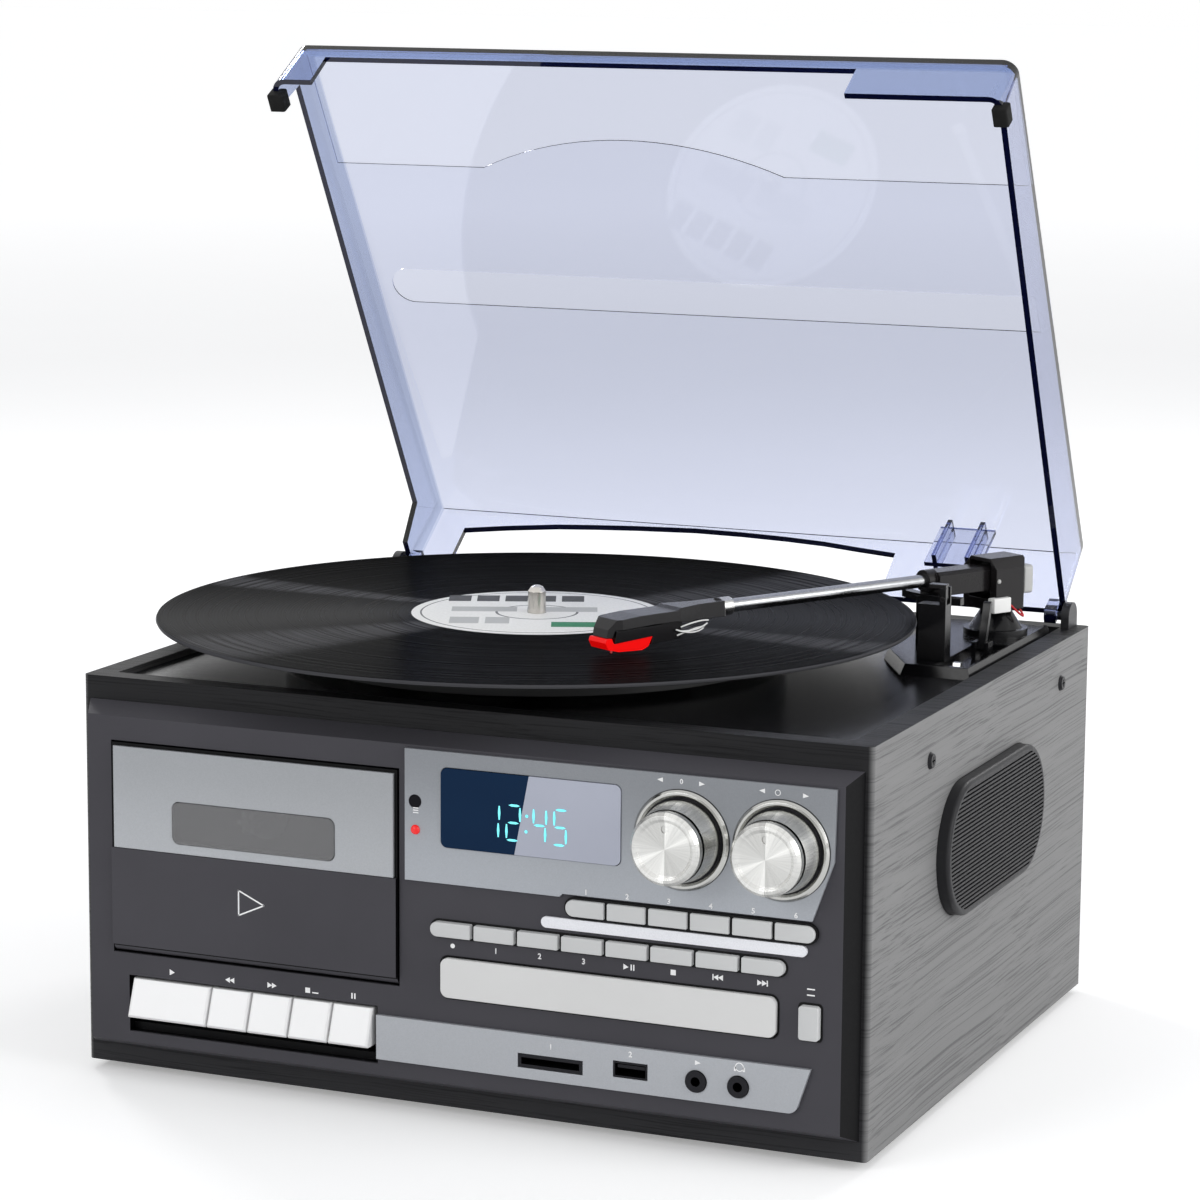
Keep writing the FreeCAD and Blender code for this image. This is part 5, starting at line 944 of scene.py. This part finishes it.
# Over the knobs: a triangle on each side of a nought or a ring, and three lines under the remote eye.
signs = [triangle(x, z, FACIA_FACE, 2.2, 1.7, to_right) for x, z, to_right in
         ((83.4, 135.4, False), (98.8, 135.2, True), (122.4, 135.0, False), (138.2, 134.6, True))]
signs += [number("0", 91.3, 135.3, FACIA_FACE, 1.6), ring_sign(128.0, 134.8, FACIA_FACE, 1.1, 0.25)]
signs += [bar(-13.9, 113.9 + i * 0.9, FACIA_FACE, 2.2, 0.35) for i in range(3)]
# Over the function buttons their numbers, and under the playback buttons a dot, numbers and play signs.
signs += [number(str(i + 1), 54.5 + i * 16.2, 90.9, FACIA_FACE, 1.8) for i in range(6)]
signs.append(dot(0.6, 64.7, BEZEL_FACE, 0.9))
signs += [number(str(i + 1), x, 64.6, BEZEL_FACE, 1.9) for i, x in enumerate((18.1, 35.7, 53.2))]
signs += [triangle(69.6, 64.6, BEZEL_FACE, 2.0, 2.2), bar(72.0, 64.6, BEZEL_FACE, 0.5, 2.2),
          bar(73.0, 64.6, BEZEL_FACE, 0.5, 2.2), bar(88.4, 64.6, BEZEL_FACE, 2.0, 2.0)]
signs += skip_sign(105.8, 64.7, BEZEL_FACE, -1) + skip_sign(122.6, 64.6, BEZEL_FACE, 1)
# Over the piano keys: play, wind back, wind on, stop with eject, and pause. The last two bars lie over the
# button of the tray.
signs += [triangle(*sides) for sides in (
    (-118.0, 41.2, BEZEL_FACE, 2.2, 2.4), (-93.4, 41.0, BEZEL_FACE, 2.0, 2.2, False),
    (-91.5, 41.0, BEZEL_FACE, 2.0, 2.2, False), (-76.0, 41.0, BEZEL_FACE, 2.0, 2.2),
    (-74.1, 41.0, BEZEL_FACE, 2.0, 2.2))]
signs += [bar(*sides) for sides in (
    (-59.6, 40.9, BEZEL_FACE, 2.0, 2.0), (-56.4, 40.2, BEZEL_FACE, 2.6, 0.5),
    (-41.0, 40.9, BEZEL_FACE, 0.6, 2.2), (-39.8, 40.9, BEZEL_FACE, 0.6, 2.2),
    (141.2, 62.2, BEZEL_FACE, 3.0, 0.5), (141.2, 64.4, BEZEL_FACE, 3.0, 0.5))]
# On the strip: a number at each slot, a small headphone and a triangle at the two jacks.
signs += [number("1", 41.0, 31.4, STRIP_FACE, 1.9), number("2", 72.6, 32.4, STRIP_FACE, 1.9)]
signs += [ring_sign(115.0, 33.0, STRIP_FACE, 1.7, 0.35), bar(113.3, 32.2, STRIP_FACE, 0.8, 1.6),
          bar(116.7, 32.2, STRIP_FACE, 0.8, 1.6), triangle(98.6, 32.6, STRIP_FACE, 2.2, 1.8)]
joined(signs, "front_signs", white_ink, "chassis")

# %% The play sign on the door
DOOR_SIGN = ((-87.6, 76.9), (-76.9, 72.1), (-87.6, 67.3))
door_lines = []
for (x0, z0), (x1, z1) in zip(DOOR_SIGN, DOOR_SIGN[1:] + DOOR_SIGN[:1]):
    length = math.hypot(x1 - x0, z1 - z0)
    lean = math.degrees(math.atan2(z1 - z0, x1 - x0))
    door_lines.append(bar((x0 + x1) / 2, (z0 + z1) / 2, DOOR_FACE, length + 0.4, 0.55, lean))
joined(door_lines, "door_sign", white_ink, "door")

# %% [markdown]
# ## The display
#
# Behind the display window is a liquid crystal panel with a blue back light. Its figures are made of
# straight segments with pointed ends. Each lit segment is a circle of six points that is pulled long, and
# the figures show a time of day, as a plain clock would. They glow a little, so they get a shader that
# sends light out. Its strength stays below 1, which keeps their colour from turning white.

# %% Display figures
SEGMENTS = {"1": "bc", "2": "abged", "4": "fgbc", "5": "afgcd"}
FIGURE_WIDTH = 5.0
FIGURE_HEIGHT = 13.0
SEGMENT_HALF = 0.5
FIGURE_FACE = DISPLAY_FACE - 0.02


def mottle(tree, first_hex, second_hex, scale, detail=2.0):
    """A colour that drifts between two others. Scale is the number of patches along a metre."""
    drift = add(tree, "TexNoise", Vector=add(tree, "TexCoord").outputs["Object"], Scale=scale, Detail=detail)
    return add(tree, "Mix", {"data_type": "RGBA"}, Factor=drift, A=linear(first_hex), B=linear(second_hex))


def segment(x, z, length, upright):
    """One pointed segment."""
    deselect_all()
    bpy.ops.mesh.primitive_circle_add(vertices=6, radius=1.0, fill_type="NGON",
                                      rotation=(0, 0, math.radians(30)))
    stretch(*((SEGMENT_HALF, length / 2) if upright else (length / 2, SEGMENT_HALF)))
    return stand_up(x, z, FIGURE_FACE)


def figure(symbol, x, z):
    """The lit segments of one figure, which leans a little to the right."""
    half_w, half_h = FIGURE_WIDTH / 2, FIGURE_HEIGHT / 2
    places = {"a": (0, half_h, False), "g": (0, 0, False), "d": (0, -half_h, False),
              "b": (half_w, half_h / 2, True), "c": (half_w, -half_h / 2, True),
              "f": (-half_w, half_h / 2, True), "e": (-half_w, -half_h / 2, True)}
    shapes = []
    for key in SEGMENTS[symbol]:
        dx, dz, upright = places[key]
        length = (half_h if upright else FIGURE_WIDTH) * 0.92
        shapes.append(segment(x + dx + dz * 0.06, z + dz, length, upright))
    return shapes


display_glow, glow_tree, glow_shader = new_finish("lit_display_segment")
glow_tone = mottle(glow_tree, "62d3dc", "7fe8ee", 500.0, 1.0)
fill(glow_shader, Base_Color=glow_tone, Emission_Color=glow_tone, Emission_Strength=0.75, Roughness=0.4,
     IOR=1.5)
figures = []
for symbol, x in zip("1245", (17.5, 25.8, 36.2, 44.4)):
    figures += figure(symbol, x, 114.0)
figures += [dot(31.2, 117.0, FIGURE_FACE, 0.6), dot(30.9, 111.2, FIGURE_FACE, 0.6)]
joined(figures, "display_figures", display_glow, "chassis")

# %% [markdown]
# ## Tinted plastics: lenses and windows
#
# The display window is clear acrylic over a dark blue panel. Over its right part, beyond a slanted line,
# a pale painted reflection is laid into its colour. The lamp beside it is a red lens. One CAD node holds
# all three, so its finish picks a colour by place: left of a line, right of it, and round the lamp.

# %% Front lenses
# The painted reflection begins at a slanted line, which runs from (31.9, 135.2) at the top to (26.3, 105.7)
# at the bottom, in millimetres.
LINE_TOP = (31.9, 135.2)
LINE_LEAN = 0.19
lens, lens_tree, lens_shader = new_finish("tinted_acrylic_lenses")
lens_place = add(lens_tree, "SeparateXYZ", Vector=add(lens_tree, "TexCoord").outputs["Object"])
lens_x, lens_z = lens_place.outputs["X"], lens_place.outputs["Z"]
slant = add(lens_tree, "Math", "MULTIPLY_ADD", _0=lens_z, _1=-LINE_LEAN, _2=lens_x)
in_painted_reflection = add(lens_tree, "Math", "GREATER_THAN", _0=slant, _1=(LINE_TOP[0] - LINE_LEAN * LINE_TOP[1]) * MM)
on_display = add(lens_tree, "Math", "GREATER_THAN", _0=lens_x, _1=-6.0 * MM)
is_lamp = add(lens_tree, "Math", "LESS_THAN", _0=lens_z, _1=(112.8 + FLOOR_Z) * MM)
display_and_painted_reflection = add(lens_tree, "Mix", {"data_type": "RGBA"}, Factor=in_painted_reflection,
               A=mottle(lens_tree, "0a2340", "0e2b49", 30.0), B=mottle(lens_tree, "b0b4c2", "bcc0ce", 30.0))
small_lens = add(lens_tree, "Mix", {"data_type": "RGBA"}, Factor=is_lamp, A=linear("15151a"),
                 B=linear("c8141c"))
lens_colour = add(lens_tree, "Mix", {"data_type": "RGBA"}, Factor=on_display, A=small_lens, B=display_and_painted_reflection)
fill(lens_shader, Base_Color=lens_colour, Roughness=0.3, IOR=1.49, Specular_IOR_Level=0.08)
wear(lens, "front_lenses")

# %% Lamp and stylus carrier
# The lamp's red dome bulges out of the facia and glows.
LAMP_PLACE = (-14.0, FACIA_FACE, 107.5 + FLOOR_Z)
LAMP_PROFILE = ((0, -1.3), (0.9, -1.1), (1.6, -0.7), (1.85, -0.1), (0, -0.1))
lamp_red, lamp_tree, lamp_shader = new_finish("lit_red_lens")
lamp_tone = mottle(lamp_tree, "d8101a", "f02824", 900.0)
fill(lamp_shader, Base_Color=lamp_tone, Emission_Color=lamp_tone, Emission_Strength=0.3, Roughness=0.25,
     IOR=1.49)
lamp_dome = turned_piece("power_lamp_dome", LAMP_PROFILE, LAMP_PLACE, "Y", 32, lamp_red, smooth=60)
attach(lamp_dome, "chassis")

# The stylus carrier is a bright red polystyrene moulding. It is no lamp, so its faint glow is painted light.
red_styrene = moulded("red_styrene_stylus", "f20808", 0.3, grain=0.8, edge=0.2, tone=0.03, specular=0.2)
fill(opened(red_styrene)[1], Emission_Color=linear("f20808"), Emission_Strength=0.35)
wear(red_styrene, "stylus_holder")

# %% [markdown]
# ## Small things on the tonearm
#
# The tube carries a bright clip ring where it meets the headshell, and the cantilever under the cartridge
# is bright too. Both belong to larger nodes, so those finishes turn to metal by place, measured along the
# arm. Four thin wires join the cartridge to the tube, a white plug and a red wire leave the pivot block,
# and a pale plate closes its rear. They are drawn lying along the Y axis with the pivot at the origin, and
# then turned to where the arm lies.

# %% Bright parts by place
ARM_PIVOT = Vector((133.5, 89.0, 182.5)) * MM
ARM_TURN = math.radians(-29.4)
TO_ARM = Matrix.Translation(ARM_PIVOT) @ Matrix.Rotation(ARM_TURN, 4, "Z")
arm_along = Vector((math.sin(ARM_TURN), -math.cos(ARM_TURN), 0))


def brighten(node, low_along, high_along, below):
    """Turns a plastic to bright metal between two distances from the pivot, below a height over the arm."""
    material = nodes[node].data.materials[0]
    tree, shader = opened(material)
    offset = add(tree, "VectorMath", "SUBTRACT", _0=add(tree, "TexCoord").outputs["Object"], _1=ARM_PIVOT)
    along = add(tree, "VectorMath", "DOT_PRODUCT", _0=offset, _1=arm_along)
    near = add(tree, "Math", "COMPARE", _0=along, _1=(low_along + high_along) / 2 * MM,
               _2=(high_along - low_along) / 2 * MM)
    height = add(tree, "SeparateXYZ", Vector=offset).outputs["Z"]
    low = add(tree, "Math", "LESS_THAN", _0=height, _1=below * MM)
    bright = add(tree, "Math", "MULTIPLY", _0=near, _1=low)
    recolour(material, bright, "c4c4c2")
    fill(shader, Metallic=bright)
    print(node, "is bright from", low_along, "to", high_along, "mm")


brighten("headshell", 139.0, 144.6, 20.0)
brighten("stylus_holder", 180.0, 205.0, -11.5)

# %% Wires, plug and plate
# Each lead: how far to the side it starts, its height at both ends, and how far it bows up or down.
LEADS = ((6.4, -3.6, -4.6, 1.2), (7.0, -4.6, -6.0, -0.9), (6.6, -5.6, -7.6, 0.9), (7.2, -6.2, -5.2, -1.6))
SCREW_PROFILE = ((0, 0.7), (0.6, 0.6), (0.95, 0.2), (0.95, -0.3), (0, -0.3))
white_pvc = moulded("white_pvc_insulation", "f2f2f0", 0.35, edge=0.1, tone=0.02, **SMOOTH_SKIN)
red_pvc = moulded("red_pvc_insulation", "c01420", 0.35, edge=0.1, tone=0.03, **SMOOTH_SKIN)
pale_abs = moulded("pale_grey_abs_plate", "b9b9b7", 0.4, edge=0.3)


def wire(name, start, end, bow, radius, material):
    """A short wire: a Bezier curve with a round section, turned into a mesh. Places are in millimetres."""
    deselect_all()
    bpy.ops.curve.primitive_bezier_curve_add()
    curve = bpy.context.object.data
    first, last = curve.splines[0].bezier_points
    for point, place in ((first, start), (last, end)):
        point.co = Vector(place) * MM
        point.handle_left_type = point.handle_right_type = "FREE"
    span = (Vector(end) - Vector(start)) * MM / 3
    first.handle_left, first.handle_right = first.co - span, first.co + span + Vector(bow) * MM
    last.handle_left, last.handle_right = last.co - span + Vector(bow) * MM, last.co + span
    curve.bevel_depth = radius * MM
    curve.bevel_resolution = 3
    curve.use_fill_caps = True
    bpy.ops.object.convert(target="MESH")
    return settle(bpy.context.object, name, material, smooth=60)


leads = []
for index, (side, start_z, end_z, bow) in enumerate(LEADS):
    lead = wire("lead", (side - 2.2, -153.0 - index, start_z), (side - 0.6, -167.5 - index, end_z),
                (1.5, 0, bow), 0.32, white_pvc)
    leads.append(moved_by(lead, TO_ARM))
joined(leads, "cartridge_leads", white_pvc, "arm")
plug = moved_by(rounded_block("plug", Vector((8.0, -12.0, -14.6)) * MM, Vector((12.0, -3.0, -8.6)) * MM,
                              0.5 * MM, 0.5 * MM, 0.4 * MM, white_pvc), TO_ARM)
joined([plug], "arm_plug", white_pvc, "arm_swivel")
red_lead = moved_by(wire("red", (9.5, -3.4, -10.2), (8.0, 4.6, -13.6), (2.0, 6.0, -7.0), 0.45, red_pvc),
                    TO_ARM)
joined([red_lead], "arm_red_lead", red_pvc, "arm_swivel")
rear_plate = moved_by(rounded_block("plate", Vector((-5.5, 8.6, -9.0)) * MM, Vector((7.5, 13.0, 2.6)) * MM,
                                    1.6 * MM, 1.6 * MM, 0.5 * MM, pale_abs), TO_ARM)
joined([rear_plate], "arm_rear_plate", pale_abs, "arm_swivel")
screw_head = moved_by(turned_piece("head", SCREW_PROFILE, (9.7, -7.6, -2.1), "X", 24, pale_abs), TO_ARM)
joined([screw_head], "arm_pivot_screw", pale_abs, "arm_swivel")

# %% [markdown]
# ## Clear acrylic
#
# The cover is 2.4 mm acrylic with a faint blue tint. Through one wall the tint is hardly seen, but a look
# along an edge passes through centimetres of it and meets a deep navy. A flat see-through colour can't do
# both, so the tint is put into the volume: light loses the same share for each millimetre that it travels.
# From the photograph, one wall passes about 69% of red, 72% of green and 84% of blue. The logarithm of
# each, divided by 2.4 mm, gives the absorption. The cut edges are painted a nearly opaque navy, as painted
# shade for the long look through the tint, and the left and front walls, which are seen at a low angle or
# against the light, are painted a touch darker by place, as painted shade.

# %% Acrylic cover
WALL = 2.4 * MM
PASSED = (0.69, 0.72, 0.84)
HINGE_PLACE = Vector((0, 127.0, 159.5)) * MM
COVER_ANGLE = math.radians(-61.3)
cover_up = Vector((0, -math.sin(COVER_ANGLE), math.cos(COVER_ANGLE)))
cover_back = Vector((0, math.cos(COVER_ANGLE), math.sin(COVER_ANGLE)))
absorption = [-math.log(share) / WALL for share in PASSED]
density = max(absorption) * 1.02
acrylic, acrylic_tree, acrylic_shader = new_finish("tinted_clear_acrylic")
acrylic_place = add(acrylic_tree, "TexCoord")
haze = add(acrylic_tree, "TexNoise", Vector=acrylic_place.outputs["Object"], Scale=40.0, Detail=2.0)
haze_rough = add(acrylic_tree, "MapRange", Value=haze, **NOISE_SPAN, _3=0.01, _4=0.03)
# Places on the cover are taken as if it were closed, by measuring along its own upward and rearward lines.
from_hinge = add(acrylic_tree, "VectorMath", "SUBTRACT", _0=acrylic_place.outputs["Object"], _1=HINGE_PLACE)
closed_x = add(acrylic_tree, "SeparateXYZ", Vector=from_hinge).outputs["X"]
closed_y, closed_z = [add(acrylic_tree, "VectorMath", "DOT_PRODUCT", _0=from_hinge, _1=line)
                      for line in (cover_back, cover_up)]
facing_up = add(acrylic_tree, "VectorMath", "DOT_PRODUCT", _0=acrylic_place.outputs["Normal"], _1=cover_up)
# The cut edges: they face down when the cover is closed, and lie in the low part or in the rear wall.
low_part = add(acrylic_tree, "Math", "LESS_THAN", _0=closed_z, _1=22.0 * MM)
rear_part = add(acrylic_tree, "Math", "GREATER_THAN", _0=closed_y, _1=-4.9 * MM)
low_or_rear = add(acrylic_tree, "Math", "MAXIMUM", _0=low_part, _1=rear_part)
facing_down = add(acrylic_tree, "Math", "LESS_THAN", _0=facing_up, _1=-0.8)
cut_edge = add(acrylic_tree, "Math", "MULTIPLY", _0=facing_down, _1=low_or_rear)
# The left wall is seen at a low angle and from inside, and the front wall against the light, so both get
# a touch darker tint as painted shade.
side_wall = add(acrylic_tree, "Math", "LESS_THAN", _0=closed_x, _1=-146.0 * MM)
front_wall = add(acrylic_tree, "Math", "LESS_THAN", _0=closed_y, _1=-241.5 * MM)
fill(acrylic_shader, Base_Color=(1, 1, 1, 1), Roughness=haze_rough, IOR=1.49,
     Transmission_Weight=add(acrylic_tree, "MapRange", Value=cut_edge, _3=1.0, _4=0.1))
for where, tint_hex in ((side_wall, "cfd6e4"), (front_wall, "cfdcf0"), (cut_edge, "0a0e2c")):
    recolour(acrylic, where, tint_hex)
tint = add(acrylic_tree, "VolumeAbsorption", Color=tuple(1 - a / density for a in absorption) + (1.0,),
           Density=density)
fill(next(n for n in acrylic_tree.nodes if n.type == "OUTPUT_MATERIAL"), Volume=tint)
wear(acrylic, "dust_cover")
print("acrylic absorbs", [round(a) for a in absorption], "per metre")

# %% [markdown]
# ## Cut-outs in the cover
#
# On the real cover a wide arch is cut out of the rear wall, so that a record can turn under it, and the
# left wall is cut away almost to its hinge. The construction model has a lower arch and a shorter cut. The
# points of its mesh could be moved one by one, but the walls are slanted, so a plate of the right outline
# is drawn where the closed cover would have it, turned about the hinge as the cover is, and taken away by
# a Boolean modifier. It works on a merged copy, because the construction mesh is loose triangles.

# %% The arch and the side cut
# The arch is seen from behind, as places to the right and up. The side cut is seen from the left, as
# places to the rear and up. Both are in millimetres.
ARCH = ((-131, 150), (-131, 184), (-112, 187), (-88.5, 190), (-70, 191.4), (-51.5, 192.5), (-24, 193.6),
        (-2, 193.3), (18, 192.5), (36, 191.3), (52, 189.4), (69.5, 187.6), (69.5, 150))
SIDE_CUT = ((80, 150), (80, 179), (107, 179), (117, 163), (117, 150))
OPEN_UP = (Matrix.Translation(HINGE_PLACE) @ Matrix.Rotation(COVER_ANGLE, 4, "X")
           @ Matrix.Translation(-HINGE_PLACE))

shell_mesh = nodes["dust_cover"].data.copy()
shell_mesh.transform(nodes["dust_cover"].matrix_world)
shell = bpy.data.objects.new("cover_shell", shell_mesh)
bpy.context.scene.collection.objects.link(shell)
pick(shell)
bpy.ops.object.mode_set(mode="EDIT")
bpy.ops.mesh.select_all(action="SELECT")
bpy.ops.mesh.remove_doubles(threshold=2 * WELD)
bpy.ops.object.mode_set(mode="OBJECT")
# The copy brings along the stored shading directions of the loose triangles, which no longer fit.
bpy.ops.mesh.customdata_custom_splitnormals_clear()
cutters = [drawn_plate("arch_cutter", [(x, 118.5, z) for x, z in ARCH], (0, 16, 0), acrylic),
           drawn_plate("side_cutter", [(-162, y, z) for y, z in SIDE_CUT], (20, 0, 0), acrylic)]
for cutter in cutters:
    take_away(shell, moved_by(cutter, OPEN_UP))
settle(shell, "cover_shell", acrylic, smooth=30)
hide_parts("dust_cover")
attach(shell, "cover")
print("cover_shell has", len(shell.data.polygons), "faces")

# %% [markdown]
# The cover rests on two small rubber blocks that straddle its side walls near the front corners. The
# construction model has rods there, which are longer, so rounded blocks take their place.

# %% Rubber blocks
BLOCK_DEPTH = 7.5
BLOCK_LOW, BLOCK_HIGH = 159.2, 165.6
rubber = moulded("black_rubber_blocks", "131313", 0.8, grain=0.9, edge=0.4, specular=0.2, ior=1.52)
blocks = []
for block_left, block_right, near in ((151.2, 157.3, -114.6), (-157.0, -150.2, -112.4)):
    block = rounded_block("bumper", Vector((block_left, near, BLOCK_LOW)) * MM,
                          Vector((block_right, near + BLOCK_DEPTH, BLOCK_HIGH)) * MM, 0.9 * MM, 0.9 * MM,
                          0.6 * MM, rubber)
    blocks.append(moved_by(block, OPEN_UP))
bumpers = joined(blocks, "lid_rubber_blocks", rubber, "cover")
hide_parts("lid_bumpers")

# %% [markdown]
# The cassette window is smoked acrylic, grey and a little milky, so that the reels behind it show as soft
# dark shapes.

# %% Cassette window
smoked, smoked_tree, smoked_shader = new_finish("smoked_acrylic_window")
fill(smoked_shader, Base_Color=mottle(smoked_tree, "a4a4a6", "b2b2b4", 25.0), Transmission_Weight=0.7,
     Roughness=0.12, IOR=1.49)
wear(smoked, "cassette_window")

# %% [markdown]
# ## Floor and light
#
# The photograph is a studio picture on white. The floor is a plain pale sheet, and a little light of its
# own, which only the camera, mirrors and glass see, lifts it to the white of the background while it keeps
# the shadow. The room gives soft light from everywhere. A large soft lamp on the right lights the side
# board, one from the front left keeps the front legible, and two small ones behind put glints on the
# record and the tonearm.

# %% Floor


def looked_at(tree):
    """1 for what the camera sees, also in a mirror or through glass, and 0 for the light that falls."""
    path = add(tree, "LightPath")
    mirrored = add(tree, "Math", "MAXIMUM", _0=path.outputs["Is Camera Ray"],
                   _1=path.outputs["Is Glossy Ray"])
    return add(tree, "Math", "MAXIMUM", _0=mirrored, _1=path.outputs["Is Transmission Ray"])


bpy.ops.mesh.primitive_plane_add(size=30.0, location=(0, 0.6, -0.0005))
floor = bpy.context.object
floor.name = "studio_floor"
floor_paper, floor_tree, floor_shader = new_finish("pale_floor_paper")
floor_distance = add(floor_tree, "VectorMath", "LENGTH", _0=add(floor_tree, "TexCoord").outputs["Object"])
lift_there = add(floor_tree, "MapRange", Value=floor_distance, _1=1.0, _2=4.0, _3=0.3, _4=0.5)
lift_light = add(floor_tree, "Math", "MULTIPLY", _0=looked_at(floor_tree), _1=lift_there)
fill(floor_shader, Base_Color=mottle(floor_tree, "f1f1f1", "f4f4f4", 6.0), Roughness=0.9,
     Specular_IOR_Level=0.1, Emission_Color=(1, 1, 1, 1), Emission_Strength=lift_light)
floor.data.materials.append(floor_paper)
print("floor is", floor.dimensions.x, "m wide")

# %% Light
world = bpy.data.worlds.new("studio_room")
bpy.context.scene.world = world
world.use_nodes = True
room = world.node_tree
room.nodes.clear()
soft = add(room, "Background", Color=(0.97, 0.98, 1.0, 1.0), Strength=0.55)
white = add(room, "Background", Color=(1.0, 1.0, 1.0, 1.0), Strength=1.0)
add(room, "OutputWorld", Surface=add(room, "MixShader", _0=looked_at(room), _1=soft, _2=white))


def soft_lamp(name, place, target, width, height, watts):
    """A rectangular soft lamp that looks at a point."""
    bpy.ops.object.light_add(type="AREA", location=place)
    lamp = bpy.context.object
    lamp.name = name
    lamp.data.shape = "RECTANGLE"
    lamp.data.size = width
    lamp.data.size_y = height
    lamp.data.energy = watts
    lamp.rotation_euler = (Vector(target) - Vector(place)).to_track_quat("-Z", "Y").to_euler()


soft_lamp("right_softbox", (2.0, -0.2, 0.9), (0.1, 0, 0.1), 1.4, 1.2, 22.0)
soft_lamp("back_left_softbox", (-1.25, 0.85, 1.2), (0, 0, 0.15), 0.35, 0.25, 6.0)
soft_lamp("back_right_softbox", (0.4, 1.65, 1.15), (0, 0, 0.15), 0.35, 0.25, 6.0)
soft_lamp("front_softbox", (-1.1, -2.2, 1.2), (0, 0, 0.15), 1.2, 1.0, 14.0)
